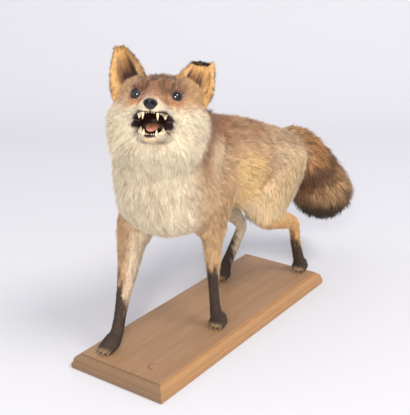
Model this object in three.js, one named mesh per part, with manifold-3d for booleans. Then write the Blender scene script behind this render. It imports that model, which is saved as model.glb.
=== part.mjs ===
// A mounted red fox, walking with its head turned and its mouth open, on a moulded wooden board.
// Millimetres, +Z up. The origin is the middle of the board's underside.
// The fox faces -Y and its left side is +X.
//
// The fox is one rounded body, written as a distance function: chains of oval bars and balls,
// blended where flesh runs together. Each named part meshes its own region of that body and is
// cut to it along flat planes, with a thin gap between neighbours.
import * as THREE from 'three';
import { mergeVertices } from 'three/addons/utils/BufferGeometryUtils.js';
import Module from 'manifold-3d';

const wasm = await Module();
wasm.setup();

// ---------------------------------------------------------------- driving dimensions

const BOARD = { length: 560, width: 198, height: 27, edge: 12.5, step: 2.4, face: 10.5 };
const GAP = 0.4;
const FLOOR = BOARD.height + GAP;

// Places and turns of the head: the point midway between the eyes, then yaw to the fox's left,
// nose up, and a slight lean to its left.
const HEAD = { at: [48, -213, 485], yaw: 33, pitch: 22.7, roll: 3.5 };
const EYE = { side: 29.5, forward: -3, up: 0, radius: 7.6 };
const JAW = { hinge: [-38, 0, -38], gape: 17 };
const NOSE = { at: [71, 0, -25], wide: 9, deep: 8 };

// Cell sizes of the meshes, by how fine each part's shape is.
const CELL = {
  head: [11.5, 11.5, 11], jaw: [8, 8, 8], nose: [4.4, 4.4, 4.4], tongue: [8, 8, 7],
  trunk: [31, 46, 31], neck: [27, 27, 27], tail: [28, 28, 28], limb: [12, 13, 24],
  paw: [9, 9.5, 10], upper: [25, 29, 25],
};

// ---------------------------------------------------------------- small vector helpers

const deg = Math.PI / 180;
const mix = (a, b, t) => a + (b - a) * t;
const clamp = (v, low, high) => Math.min(Math.max(v, low), high);
const dot = (a, b) => a[0] * b[0] + a[1] * b[1] + a[2] * b[2];
const minus = (a, b) => [a[0] - b[0], a[1] - b[1], a[2] - b[2]];
const along = (a, v, t) => [a[0] + v[0] * t, a[1] + v[1] * t, a[2] + v[2] * t];

// Smooth union and smooth cut, with a blend about `soft` mm wide.
function join(a, b, soft) {
  const h = Math.max(soft - Math.abs(a - b), 0) / soft;
  return Math.min(a, b) - h * h * soft / 4;
}
const carve = (a, b, soft) => -join(-a, b, soft);

// ---------------------------------------------------------------- shapes of the distance function

// A smooth run through stations of equal length, by Catmull and Rom's rule.
function smoothStations(stations, parts) {
  const last = stations.length - 1;
  const pick = (i) => stations[clamp(i, 0, last)];
  const run = [];
  for (let i = 0; i < last; i += 1) {
    for (let j = 0; j < parts; j += 1) {
      const t = j / parts;
      run.push(pick(i).map((_, c) => {
        const [p, q, r, s] = [pick(i - 1)[c], pick(i)[c], pick(i + 1)[c], pick(i + 2)[c]];
        return q + 0.5 * t * (r - p + t * (2 * p - 5 * q + 4 * r - s + t * (3 * (q - r) + s - p)));
      }));
    }
  }
  run.push(pick(last));
  return run;
}

// A chain of oval bars. Each station is [x, y, z, half width, half depth], and the width lies
// along `side`.
function chain(stations, side = [1, 0, 0], parts = 3) {
  const run = smoothStations(stations, parts);
  const bars = run.slice(1).map((end, i) => {
    const start = run[i];
    const v = minus(end, start);
    return { start, v, length2: dot(v, v), wide: [start[3], end[3]], deep: [start[4], end[4]] };
  });
  return (p) => {
    let best = Infinity;
    for (const bar of bars) {
      const from = minus(p, bar.start);
      const t = clamp(dot(from, bar.v) / bar.length2, 0, 1);
      const off = along(from, bar.v, -t);
      const across = dot(off, side);
      const size2 = dot(off, off);
      const rest2 = Math.max(size2 - across * across, 0);
      const wide = mix(bar.wide[0], bar.wide[1], t);
      const deep = mix(bar.deep[0], bar.deep[1], t);
      const k = Math.sqrt(across * across / (wide * wide) + rest2 / (deep * deep));
      const d = k < 1e-6 ? -Math.min(wide, deep) : Math.sqrt(size2) * (1 - 1 / k);
      best = Math.min(best, d);
    }
    return best;
  };
}

// An oval ball with half sizes `r`, leaned by `lean` degrees about its second axis.
function ball(c, r, lean = 0) {
  const cos = Math.cos(lean * deg);
  const sin = Math.sin(lean * deg);
  return (p) => {
    const q = minus(p, c);
    const a = q[0] * cos + q[2] * sin;
    const b = q[2] * cos - q[0] * sin;
    const k = Math.hypot(a / r[0], q[1] / r[1], b / r[2]);
    return k < 1e-6 ? -Math.min(...r) : Math.hypot(...q) * (1 - 1 / k);
  };
}

const mirrored = (shape) => (p) => shape([p[0], Math.abs(p[1]), p[2]]);

// ---------------------------------------------------------------- head frame

// Head coordinates are forward (to the nose), side (+ to the fox's left) and up.
function headAxes() {
  const [yaw, pitch, roll] = [HEAD.yaw * deg, HEAD.pitch * deg, HEAD.roll * deg];
  const level = [Math.sin(yaw), -Math.cos(yaw), 0];
  const forward = [level[0] * Math.cos(pitch), level[1] * Math.cos(pitch), Math.sin(pitch)];
  const up = [-level[0] * Math.sin(pitch), -level[1] * Math.sin(pitch), Math.cos(pitch)];
  const side = [Math.cos(yaw), Math.sin(yaw), 0];
  return {
    forward,
    side: along(side.map((v) => v * Math.cos(roll)), up, -Math.sin(roll)),
    up: along(up.map((v) => v * Math.cos(roll)), side, Math.sin(roll)),
  };
}

const axes = headAxes();

function toHead(p) {
  const q = minus(p, HEAD.at);
  return [dot(q, axes.forward), dot(q, axes.side), dot(q, axes.up)];
}

function fromHead(h) {
  return along(along(along(HEAD.at, axes.forward, h[0]), axes.side, h[1]), axes.up, h[2]);
}

// The jaw's own frame is the head's, turned down about the hinge by the gape.
const jawCos = Math.cos(JAW.gape * deg);
const jawSin = Math.sin(JAW.gape * deg);

function toJaw(h) {
  const [f, u] = [h[0] - JAW.hinge[0], h[2] - JAW.hinge[2]];
  return [f * jawCos - u * jawSin, h[1], u * jawCos + f * jawSin];
}

function fromJaw(j) {
  return [
    JAW.hinge[0] + j[0] * jawCos + j[2] * jawSin,
    j[1],
    JAW.hinge[2] + j[2] * jawCos - j[0] * jawSin,
  ];
}

// ---------------------------------------------------------------- the head's flesh

const headShapes = {
  cranium: ball([-42, 0, 0], [44, 50, 38], 4),
  temple: mirrored(ball([-44, 34, 6], [30, 22, 24])),
  forehead: ball([-13, 0, -4], [31, 31, 24], -24),
  muzzle: chain([
    [-8, 0, -13, 30, 24], [16, 0, -15, 21, 18.5], [38, 0, -19, 16.5, 15.5],
    [48, 0, -22, 15, 13.5], [55, 0, -23.5, 12, 11.5],
  ], [0, 1, 0]),
  whiskerPad: mirrored(ball([48, 9, -29], [18, 11, 9.5], -4)),
  upperLip: mirrored(chain([
    [60, 5, -30, 8, 8], [46, 12, -28, 8, 9], [26, 17.5, -27, 9, 9.5], [4, 26, -33, 11, 10],
  ], [0, 1, 0], 1)),
  brow: mirrored(ball([-8, 22, 10], [14, 13, 8], -20)),
  eyeHollow: mirrored(ball([10, 32, -0.5], [14, 10, 9])),
  cheekbone: mirrored(ball([-13, 29, -20], [26, 20, 18], -6)),
  cheek: mirrored(ball([-34, 42, -34], [34, 30, 32])),
  ruff: mirrored(ball([-60, 49, -40], [36, 32, 42])),
  throat: ball([-40, 0, -66], [42, 48, 26]),
};

const jawShape = chain([
  [12, 0, -14, 28, 14], [44, 0, -9, 24, 12], [74, 0, -7.5, 17, 9], [90, 0, -6.8, 10, 6.6],
], [0, 1, 0]);

// The open mouth is a wedge from the corners of the lips forwards, its upper edge arched along
// the upper lip, with the palate hollowed above it, the floor of the jaw below and the gullet.
const LIPS = { corner: 4, height: -40.5, rise: 0.42, arch: 0.0064, drop: 0.56, end: 90, wide: 42 };
const hollows = {
  palate: ball([30, 0, -38], [38, 14, 8], -3),
  gullet: ball([-4, 0, -47], [30, 24, 11], -9),
  jawFloor: ball([60, 0, 1], [32, 12, 6]),
};

function mouthField(h) {
  const ahead = h[0] - LIPS.corner;
  const wedge = Math.max(
    h[2] - LIPS.height - (LIPS.rise - LIPS.arch * ahead) * ahead,
    LIPS.height - LIPS.drop * ahead - h[2],
    -ahead,
    h[0] - LIPS.end,
    Math.abs(h[1]) - LIPS.wide,
  );
  const inside = join(hollows.palate(h), hollows.gullet(h), 8);
  return join(join(wedge, inside, 4), hollows.jawFloor(toJaw(h)), 4);
}

// The nose pad and its two nostrils.
const nosePad = ball([NOSE.at[0] - 4, 0, NOSE.at[2]], [8, NOSE.wide, NOSE.deep]);
const nostril = mirrored(ball([NOSE.at[0] + 4, 3.4, NOSE.at[2]], [4, 2, 2]));

// The upper head in head coordinates, without the jaw.
function skullField(h) {
  const s = headShapes;
  let d = join(s.cranium(h), s.forehead(h), 14);
  d = join(d, s.temple(h), 12);
  d = join(d, s.muzzle(h), 14);
  d = join(d, s.whiskerPad(h), 6);
  d = join(d, s.upperLip(h), 6);
  d = join(d, s.brow(h), 8);
  d = join(d, s.cheekbone(h), 12);
  d = join(d, s.cheek(h), 16);
  d = join(d, s.ruff(h), 18);
  d = join(d, s.throat(h), 16);
  d = carve(d, s.eyeHollow(h), 5);
  return carve(join(d, nosePad(h), 3), nostril(h), 1);
}

// The whole head: skull and jaw joined, then hollowed by the open mouth.
function headField(p) {
  const h = toHead(p);
  const flesh = join(skullField(h), jawShape(toJaw(h)), 8);
  return carve(flesh, mouthField(h), 2.5);
}

// ---------------------------------------------------------------- the body's flesh

const trunkShape = chain([
  [0, -126, 314, 80, 88], [0, -60, 317, 78, 105], [0, 20, 316, 71, 92], [0, 95, 308, 67, 79],
  [0, 165, 292, 64, 70], [0, 235, 274, 60, 60], [0, 262, 266, 50, 50],
]);

const neckShape = chain([
  [20, -158, 442, 68, 54], [12, -150, 405, 83, 71], [4, -138, 360, 86, 78], [0, -124, 310, 83, 80],
]);

const flankFold = chain([[34, 40, 262, 22, 24], [46, 88, 226, 22, 30]], [1, 0, 0], 1);

const tailShape = chain([
  [0, 254, 294, 24, 24], [3, 290, 286, 29, 30], [12, 328, 258, 39, 40], [27, 354, 216, 54, 52],
  [36, 372, 178, 66, 57], [26, 403, 152, 46, 46], [12, 436, 132, 24, 26],
], [1, 0, 0], 3);

// Each leg is a chain of stations from inside the body down to the paw.
const limbs = {
  fore_right: {
    bones: chain([
      [-50, -112, 290, 41, 58], [-57, -136, 240, 32, 38], [-57, -154, 205, 23, 24],
      [-57, -168, 160, 18, 18], [-57, -184, 115, 13, 14], [-56, -197, 78, 11, 12],
      [-53, -210, 52, 13, 12], [-51, -226, 41, 15, 11],
    ]),
    paw: { heel: [-51, -226], toes: [-51, -248], spread: 13 },
  },
  fore_left: {
    bones: chain([
      [46, -66, 290, 36, 54], [51, -68, 240, 26, 36], [52, -68, 205, 19, 22],
      [53, -68, 160, 15.5, 17], [53, -66, 118, 11.5, 12.5], [53, -62, 80, 11, 12],
      [53, -56, 52, 13, 12], [53, -50, 41, 14, 11],
    ]),
    paw: { heel: [53, -46], toes: [54, -62], spread: 13 },
  },
  hind_right: {
    bones: chain([
      [-34, 200, 262, 36, 58], [-48, 148, 230, 29, 46], [-56, 126, 205, 24, 32],
      [-58, 155, 172, 20, 24], [-58, 186, 140, 15, 17], [-58, 200, 120, 12.5, 15],
      [-58, 172, 84, 12, 13.5], [-57, 142, 55, 12.5, 12.5], [-56, 130, 42, 14, 11],
    ]),
    paw: { heel: [-56, 130], toes: [-55, 114], spread: 13 },
  },
  hind_left: {
    bones: chain([
      [36, 202, 258, 38, 60], [49, 148, 228, 32, 50], [56, 112, 207, 26, 34],
      [58, 156, 177, 21, 23], [57, 200, 156, 15, 17], [56, 221, 142, 12.5, 15],
      [55, 232, 105, 11.5, 13], [55, 248, 62, 12.5, 12], [55, 256, 43, 14, 11],
    ]),
    paw: { heel: [55, 262], toes: [56, 246], spread: 13 },
  },
};

// A paw is a flat pad with four toes in a shallow arc, resting just above the board.
const TOE = { radius: 6.2, length: 10, height: 8.5 };
const PAD = { wide: 13.5, deep: 9, height: 12 };
const CLAW = { radius: 2.3, length: 15, sides: 4 };

function pawLayout({ heel, toes, spread }) {
  const way = new THREE.Vector2(toes[0] - heel[0], toes[1] - heel[1]).normalize();
  const across = new THREE.Vector2(-way.y, way.x);
  const places = [-1, -0.36, 0.36, 1].map((k) => {
    const back = -5 * k * k;
    return {
      x: toes[0] + across.x * spread * k * 0.82 + way.x * back,
      y: toes[1] + across.y * spread * k * 0.82 + way.y * back,
      turn: k * 0.2,
    };
  });
  return { way, across, places };
}

function pawField(paw) {
  const { way, across, places } = pawLayout(paw);
  const side = [across.x, across.y, 0];
  const pad = chain([
    [...paw.heel, FLOOR + PAD.height + 3, PAD.wide, PAD.deep + 4],
    [paw.toes[0] - way.x * 8, paw.toes[1] - way.y * 8, FLOOR + PAD.height - 2, PAD.wide, PAD.deep],
  ], side, 1);
  const toes = places.map((place) => chain([
    [place.x - way.x * TOE.length, place.y - way.y * TOE.length, FLOOR + TOE.height + 3, TOE.radius, TOE.radius],
    [place.x, place.y, FLOOR + TOE.height - 1, TOE.radius, TOE.radius],
  ], side, 1));
  return (p) => toes.reduce((d, toe) => join(d, toe(p), 3), pad(p));
}

for (const limb of Object.values(limbs)) {
  const paw = pawField(limb.paw);
  // The sole is flat, a hair above the board.
  limb.field = (p) => Math.max(join(limb.bones(p), paw(p), 8), FLOOR - p[2]);
}

function bodyField(p) {
  let d = join(trunkShape(p), neckShape(p), 40);
  d = join(d, flankFold(p), 24);
  for (const limb of Object.values(limbs)) {
    d = join(d, limb.field(p), 16);
  }
  d = join(d, headField(p), 16);
  return join(d, tailShape(p), 14);
}

// ---------------------------------------------------------------- ears

// Each ear is a cupped leaf in head coordinates: `root` and `tip` give its middle line, `face`
// the way that its hollow looks. The right ear stands whole. The left one is folded over near
// its top, so it ends in a broad blunt edge.
const EARS = {
  right: {
    hand: -1, root: [[-34, 26, 34], [-47, 69, 4]], top: [[-62, 66, 89], [-62, 79, 87]],
    sink: 20, bulge: [6, 10], cup: 17, thick: 4,
  },
  left: {
    hand: 1, root: [[-34, 29, 37], [-46, 73, 8]], top: [[-52, 48, 67], [-53, 81, 67]],
    sink: 20, bulge: [1, 10], cup: 13, thick: 4,
  },
};
const EAR_GRID = { across: 6, up: 5 };

// A point of the leaf: `across` runs from the inner edge at -1 to the outer one at 1, and `v`
// from the root at 0 to the top at 1. Below the root line the leaf runs on into the skull.
function earPoint(ear, across, v, layer) {
  const t = (across + 1) / 2;
  const foot = ear.root[0].map((x, i) => mix(x, ear.root[1][i], t));
  const crest = ear.top[0].map((x, i) => mix(x, ear.top[1][i], t));
  const up = new THREE.Vector3(...minus(crest, foot)).normalize();
  const wide = new THREE.Vector3(...minus(ear.root[1], ear.root[0])).normalize();
  const face = new THREE.Vector3().crossVectors(wide, up).normalize();
  const rim = 1 - across * across;
  const height = mix(-ear.sink, new THREE.Vector3(...minus(crest, foot)).length(), v);
  const swell = ear.bulge[across < 0 ? 0 : 1] * Math.sin(Math.PI * v) * across;
  const back = ear.cup * rim * (1 - 0.6 * v);
  const thick = ear.thick * (1 - 0.4 * v) * (0.5 + 0.5 * rim) * 0.5 * layer;
  const reach = along(along(foot, [up.x, up.y, up.z], height), [wide.x, wide.y, wide.z], swell);
  const h = along(reach, [face.x, face.y, face.z], thick - back);
  return fromHead([h[0], h[1] * ear.hand, h[2]]);
}

// The leaf's front and back layers, closed round the rim.
function earSolid(ear) {
  const { across, up } = EAR_GRID;
  const positions = [];
  for (const layer of [1, -1]) {
    for (let j = 0; j <= up; j += 1) {
      for (let i = 0; i <= across; i += 1) {
        positions.push(...earPoint(ear, 2 * i / across - 1, j / up, layer));
      }
    }
  }
  const at = (layer, i, j) => layer * (across + 1) * (up + 1) + j * (across + 1) + i;
  const triangles = [];
  const quad = (a, b, c, d) => triangles.push(a, b, c, a, c, d);
  for (let j = 0; j < up; j += 1) {
    for (let i = 0; i < across; i += 1) {
      quad(at(0, i, j), at(0, i + 1, j), at(0, i + 1, j + 1), at(0, i, j + 1));
      quad(at(1, i, j + 1), at(1, i + 1, j + 1), at(1, i + 1, j), at(1, i, j));
    }
    quad(at(1, 0, j), at(0, 0, j), at(0, 0, j + 1), at(1, 0, j + 1));
    quad(at(0, across, j), at(1, across, j), at(1, across, j + 1), at(0, across, j + 1));
  }
  for (let i = 0; i < across; i += 1) {
    quad(at(1, i, 0), at(1, i + 1, 0), at(0, i + 1, 0), at(0, i, 0));
    quad(at(0, i, up), at(0, i + 1, up), at(1, i + 1, up), at(1, i, up));
  }
  return outward(positions, triangles);
}

// Turns a closed mesh the right way out, as a mirrored ear comes out inside out.
function outward(positions, triangles) {
  let volume = 0;
  const point = (n) => positions.slice(3 * n, 3 * n + 3);
  for (let t = 0; t < triangles.length; t += 3) {
    const [a, b, c] = [0, 1, 2].map((n) => point(triangles[t + n]));
    volume += a[0] * (b[1] * c[2] - b[2] * c[1]) + a[1] * (b[2] * c[0] - b[0] * c[2]) + a[2] * (b[0] * c[1] - b[1] * c[0]);
  }
  if (volume < 0) {
    for (let t = 0; t < triangles.length; t += 3) {
      [triangles[t + 1], triangles[t + 2]] = [triangles[t + 2], triangles[t + 1]];
    }
  }
  return solidOf(positions, triangles);
}

// ---------------------------------------------------------------- meshing

// Meshes the surface where `field` is zero inside a box, with one point to each crossed cell
// and each crossed group of corners, then draws the points onto the surface.
function meshField(field, low, high, cells) {
  const cell = Math.min(...cells);
  const count = low.map((v, i) => Math.max(2, Math.ceil((high[i] - v) / cells[i])));
  const [nx, ny, nz] = count.map((c) => c + 1);
  const at = (i, j, k) => [low[0] + i * cells[0], low[1] + j * cells[1], low[2] + k * cells[2]];
  const index = (i, j, k) => (k * ny + j) * nx + i;
  const values = new Float64Array(nx * ny * nz);
  for (let k = 0; k < nz; k += 1) {
    for (let j = 0; j < ny; j += 1) {
      for (let i = 0; i < nx; i += 1) {
        const rim = i === 0 || j === 0 || k === 0 || i === nx - 1 || j === ny - 1 || k === nz - 1;
        const v = field(at(i, j, k));
        values[index(i, j, k)] = rim ? Math.max(v, 0) + cell * 20 : v;
      }
    }
  }

  fillSaddles(values, [nx, ny, nz], index, cell);

  const corners = [0, 1, 2, 3, 4, 5, 6, 7].map((c) => [c & 1, (c >> 1) & 1, c >> 2]);
  const edges = [];
  for (let c = 0; c < 8; c += 1) {
    for (const bit of [1, 2, 4]) {
      if (!(c & bit)) edges.push([c, c | bit]);
    }
  }

  const points = [];
  const groups = new Map();
  for (let k = 0; k < nz - 1; k += 1) {
    for (let j = 0; j < ny - 1; j += 1) {
      for (let i = 0; i < nx - 1; i += 1) {
        const v = corners.map(([a, b, c]) => values[index(i + a, j + b, k + c)]);
        const inside = v.map((x) => x < 0);
        if (inside.every((x) => x === inside[0])) continue;
        const group = [0, 1, 2, 3, 4, 5, 6, 7];
        const root = (c) => (group[c] === c ? c : root(group[c]));
        for (const [a, b] of edges) {
          if (inside[a] && inside[b]) group[root(a)] = root(b);
        }
        const sums = new Map();
        for (const [a, b] of edges) {
          if (inside[a] === inside[b]) continue;
          const key = root(inside[a] ? a : b);
          const t = v[a] / (v[a] - v[b]);
          const place = corners[a].map((x, axis) => mix(x, corners[b][axis], t));
          const sum = sums.get(key) ?? [0, 0, 0, 0];
          place.forEach((x, axis) => { sum[axis] += x; });
          sum[3] += 1;
          sums.set(key, sum);
        }
        const slots = new Array(8).fill(-1);
        for (const [key, sum] of sums) {
          for (let c = 0; c < 8; c += 1) {
            if (inside[c] && root(c) === key) slots[c] = points.length;
          }
          points.push(at(i + sum[0] / sum[3], j + sum[1] / sum[3], k + sum[2] / sum[3]));
        }
        groups.set(index(i, j, k), slots);
      }
    }
  }

  // Two steps towards the true surface, along the slope and never further than half a cell.
  for (const point of points) {
    for (let step = 0; step < 2; step += 1) {
      const d = field(point);
      if (Math.abs(d) > Math.max(...cells)) break;
      const e = cell * 0.05;
      const slope = [0, 1, 2].map((axis) => {
        const q = [...point];
        q[axis] += e;
        return (field(q) - d) / e;
      });
      const size2 = Math.max(dot(slope, slope), 0.25);
      const move = clamp(d / size2, -cell * 0.4, cell * 0.4);
      slope.forEach((g, axis) => { point[axis] -= g * move; });
    }
  }

  // One pair of triangles for each grid edge that crosses the surface.
  const triangles = [];
  const steps = [[1, 0, 0], [0, 1, 0], [0, 0, 1]];
  for (let k = 0; k < nz - 1; k += 1) {
    for (let j = 0; j < ny - 1; j += 1) {
      for (let i = 0; i < nx - 1; i += 1) {
        const here = values[index(i, j, k)] < 0;
        for (let axis = 0; axis < 3; axis += 1) {
          const step = steps[axis];
          if (here === values[index(i + step[0], j + step[1], k + step[2])] < 0) continue;
          const [u, w] = [steps[(axis + 1) % 3], steps[(axis + 2) % 3]];
          const inner = here ? [i, j, k] : [i + step[0], j + step[1], k + step[2]];
          const ring = [[0, 0], [1, 0], [1, 1], [0, 1]].map(([a, b]) => {
            const cellAt = [0, 1, 2].map((n) => [i, j, k][n] - a * u[n] - b * w[n]);
            const corner = inner.map((n, m) => n - cellAt[m]);
            return groups.get(index(...cellAt))[corner[0] + 2 * corner[1] + 4 * corner[2]];
          });
          if (!here) ring.reverse();
          const gapA = distance2(points[ring[0]], points[ring[2]]);
          const gapB = distance2(points[ring[1]], points[ring[3]]);
          const [a, b, c, d] = gapA <= gapB ? ring : [ring[1], ring[2], ring[3], ring[0]];
          triangles.push(a, b, c, a, c, d);
        }
      }
    }
  }
  return solidOf(points.flat(), triangles);
}

// Where two opposite corners of a cell's face are inside and the other two are outside, the
// surface could pinch to a line there, so the nearer outside corner is filled in.
function fillSaddles(values, [nx, ny, nz], index, cell) {
  const turns = [[[1, 0, 0], [0, 1, 0]], [[0, 1, 0], [0, 0, 1]], [[0, 0, 1], [1, 0, 0]]];
  let changed = true;
  while (changed) {
    changed = false;
    for (let k = 0; k < nz - 1; k += 1) {
      for (let j = 0; j < ny - 1; j += 1) {
        for (let i = 0; i < nx - 1; i += 1) {
          for (const [u, w] of turns) {
            const ids = [[0, 0], [1, 0], [1, 1], [0, 1]].map(([a, b]) => index(
              i + a * u[0] + b * w[0],
              j + a * u[1] + b * w[1],
              k + a * u[2] + b * w[2],
            ));
            const inside = ids.map((id) => values[id] < 0);
            if (inside[0] !== inside[2] || inside[1] !== inside[3] || inside[0] === inside[1]) continue;
            const open = ids.filter((id, n) => !inside[n]);
            const nearer = values[open[0]] < values[open[1]] ? open[0] : open[1];
            values[nearer] = -0.05 * cell;
            changed = true;
          }
        }
      }
    }
  }
}

function distance2(a, b) {
  const d = minus(a, b);
  return dot(d, d);
}

// ---------------------------------------------------------------- solids and cuts

function solidOf(positions, triangles) {
  return new wasm.Manifold(new wasm.Mesh({
    numProp: 3,
    vertProperties: new Float32Array(positions),
    triVerts: new Uint32Array(triangles),
  }));
}

function solidOfGeometry(geometry) {
  const bare = geometry.clone();
  bare.deleteAttribute('normal');
  bare.deleteAttribute('uv');
  const merged = mergeVertices(bare, 1e-4);
  return solidOf(merged.attributes.position.array, merged.index.array);
}

// Keeps only the largest closed body of a solid, so that a cut leaves no loose chips.
function largestBody(solid) {
  const bodies = solid.decompose();
  return bodies.reduce((best, body) => (body.volume() > best.volume() ? body : best), bodies[0]);
}

const REACH = 600;

// A large block that lies behind a plane: the plane goes through `at` and the block lies on
// the side away from `normal`.
function halfSpace(at, normal, shift = 0) {
  const n = new THREE.Vector3(...normal).normalize();
  const box = new THREE.BoxGeometry(2 * REACH, 2 * REACH, 2 * REACH);
  box.translate(0, 0, -REACH + shift);
  box.applyQuaternion(new THREE.Quaternion().setFromUnitVectors(new THREE.Vector3(0, 0, 1), n));
  box.translate(...at);
  return solidOfGeometry(box);
}

// A region is a list of planes [point, outward normal]; it is the space behind all of them.
function regionSolid(planes, grow) {
  return planes
    .map(([at, normal]) => halfSpace(at, normal, grow))
    .reduce((a, b) => a.intersect(b));
}

const boxPlanes = (low, high) => [
  [high, [1, 0, 0]], [low, [-1, 0, 0]], [high, [0, 1, 0]], [low, [0, -1, 0]],
  [high, [0, 0, 1]], [low, [0, 0, -1]],
];

const parts = new Map();
const turnHead = (h) => along(along(axes.forward.map((v) => v * h[0]), axes.side, h[1]), axes.up, h[2]);
const headPlane = (at, normal) => [fromHead(at), turnHead(normal)];
const flip = ([at, normal]) => [at, normal.map((v) => -v)];

// A box of planes in head coordinates.
const headBox = (low, high) => [
  headPlane(high, [1, 0, 0]), headPlane(low, [-1, 0, 0]), headPlane(high, [0, 1, 0]),
  headPlane(low, [0, -1, 0]), headPlane(high, [0, 0, 1]), headPlane(low, [0, 0, -1]),
];

// The named regions of flesh, in the order in which they are taken from the body. `low` and
// `high` bound the part's mesh, and the planes cut it. A part gives way to every one before it.
const noseCut = NOSE.at[0] - 3.5;
const jawRoot = fromJaw([38, 0, 0]);
const jawPlanes = [
  headPlane(jawRoot, [-jawCos, 0, jawSin]),
  headPlane(fromJaw([0, 0, 12]), [jawSin, 0, jawCos]),
  headPlane([0, 33, 0], [0, 1, 0]),
  headPlane([0, -33, 0], [0, -1, 0]),
  headPlane(fromJaw([60, 0, -19]), [-jawSin, 0, -jawCos]),
];
const neckTop = headPlane([-52, 0, -40], [-0.62, 0, -0.78]);

const regions = [
  {
    name: 'nose', cell: CELL.nose, low: [70, -295, 475], high: [110, -255, 510],
    planes: headBox([noseCut, -10, NOSE.at[2] - 9], [noseCut + 30, 10, NOSE.at[2] + 12]),
  },
  { name: 'lower_jaw', cell: CELL.jaw, low: [20, -300, 395], high: [120, -180, 475], planes: jawPlanes },
  { name: 'head', cell: CELL.head, low: [-75, -310, 365], high: [150, -90, 590], planes: [neckTop] },
  {
    name: 'neck', cell: CELL.neck, low: [-100, -240, 340], high: [130, 0, 520],
    planes: [[[0, -120, 362], [0, -0.5, -0.87]], [[0, -60, 400], [0, 0.87, -0.5]]],
  },
];

const tailCuts = [
  [[0, 278, 286], [0, 1, -0.2]],
  [[7, 312, 266], [0.15, 0.75, -0.65]],
  [[20, 341, 230], [0.3, 0.55, -0.8]],
];
regions.push(
  { name: 'tail_tip', cell: CELL.tail, low: [-60, 290, 95], high: [140, 490, 320], planes: [flip(tailCuts[2])] },
  {
    name: 'tail_middle', cell: CELL.tail, low: [-70, 260, 180], high: [120, 440, 360],
    planes: [flip(tailCuts[1]), tailCuts[2]],
  },
  {
    name: 'tail_root', cell: CELL.tail, low: [-60, 255, 220], high: [80, 380, 340],
    planes: [flip(tailCuts[0]), tailCuts[1]],
  },
);

const limbCuts = {
  fore_right: {
    paw: [[-55, -200, 84], [0, 0.35, 0.94]],
    leg: [[-50, -140, 234], [0.1, 0.25, 0.96]],
    upper: { low: [-120, -178, 222], high: [-38, -40, 345] },
    low: [-95, -290, 20], high: [-12, -60, 262],
  },
  fore_left: {
    paw: [[53, -62, 84], [0, 0.1, 0.99]],
    leg: [[51, -68, 232], [-0.1, 0.05, 0.99]],
    upper: { low: [38, -150, 220], high: [120, -4, 345] },
    low: [12, -130, 20], high: [95, 10, 262],
  },
  hind_right: {
    paw: [[-57, 150, 62], [0, 0.66, 0.75]],
    leg: [[-57, 138, 196], [-0.1, 0.1, 0.99]],
    upper: { low: [-120, 82, 150], high: [-36, 275, 330] },
    low: [-95, 80, 20], high: [-26, 240, 225],
  },
  hind_left: {
    paw: [[55, 240, 76], [0, -0.2, 0.98]],
    leg: [[58, 168, 180], [0, -0.8, 0.6]],
    upper: { low: [36, 70, 130], high: [120, 275, 330] },
    low: [20, 130, 20], high: [95, 300, 225],
  },
};
const limbNames = {
  fore: ['fore_paw', 'foreleg', 'shoulder'],
  hind: ['hind_paw', 'shank', 'thigh'],
};

for (const [key, cut] of Object.entries(limbCuts)) {
  const [pair, hand] = key.split('_');
  const [paw, leg, upper] = limbNames[pair];
  const { low, high } = cut;
  const reach = boxPlanes(low, high);
  regions.push(
    { name: `${hand}_${paw}`, cell: CELL.paw, low, high: [high[0], high[1], 110], planes: [cut.paw, ...reach] },
    { name: `${hand}_${leg}`, cell: CELL.limb, low, high, planes: [cut.leg, flip(cut.paw), ...reach] },
    {
      name: `${hand}_${upper}`, cell: CELL.upper, low: cut.upper.low, high: cut.upper.high,
      planes: [...boxPlanes(cut.upper.low, cut.upper.high), flip(cut.leg)],
    },
  );
}

regions.push(
  { name: 'chest', cell: CELL.trunk, low: [-120, -240, 190], high: [120, 40, 460], planes: [[[0, -8, 310], [0, 1, 0]]] },
  {
    name: 'barrel', cell: CELL.trunk, low: [-120, -60, 190], high: [120, 180, 460],
    planes: [[[0, -8, 310], [0, -1, 0]], [[0, 128, 310], [0, 1, 0]]],
  },
  { name: 'hindquarters', cell: CELL.trunk, low: [-120, 90, 150], high: [120, 350, 430], planes: [[[0, 128, 310], [0, -1, 0]]] },
);

// Cuts every region out of the body, each less the regions taken before it.
function cutRegions() {
  let taken = null;
  for (const region of regions) {
    const low = region.low.map((v, i) => v - 2 * region.cell[i]);
    const high = region.high.map((v, i) => v + 2 * region.cell[i]);
    let solid = meshField(bodyField, low, high, region.cell);
    const planes = [...region.planes, ...boxPlanes(region.low, region.high)];
    solid = solid.intersect(regionSolid(planes, 0));
    if (taken) solid = solid.subtract(taken);
    parts.set(region.name, largestBody(solid));
    const claimed = regionSolid(planes, GAP);
    taken = taken ? taken.add(claimed) : claimed;
  }
}
cutRegions();

const cutFrom = (name, tool) => parts.set(name, largestBody(parts.get(name).subtract(tool)));
const addTo = (name, piece) => parts.set(name, parts.get(name).add(piece));

// ---------------------------------------------------------------- eyes

const EYE_MESH = { around: 10, up: 7 };
// The way that the right-hand eye looks, and the opening of the lids in front of it.
const GAZE = { forward: 0.98, side: 0.12, up: -0.1, lidRadius: 8.6, reach: 7.5 };

function eyeBall(hand, radius, reach = 0) {
  const geometry = new THREE.SphereGeometry(radius, EYE_MESH.around, EYE_MESH.up);
  const place = [
    EYE.forward + GAZE.forward * reach,
    (EYE.side + GAZE.side * reach) * hand,
    EYE.up + GAZE.up * reach,
  ];
  geometry.translate(...fromHead(place));
  return solidOfGeometry(geometry);
}

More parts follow.
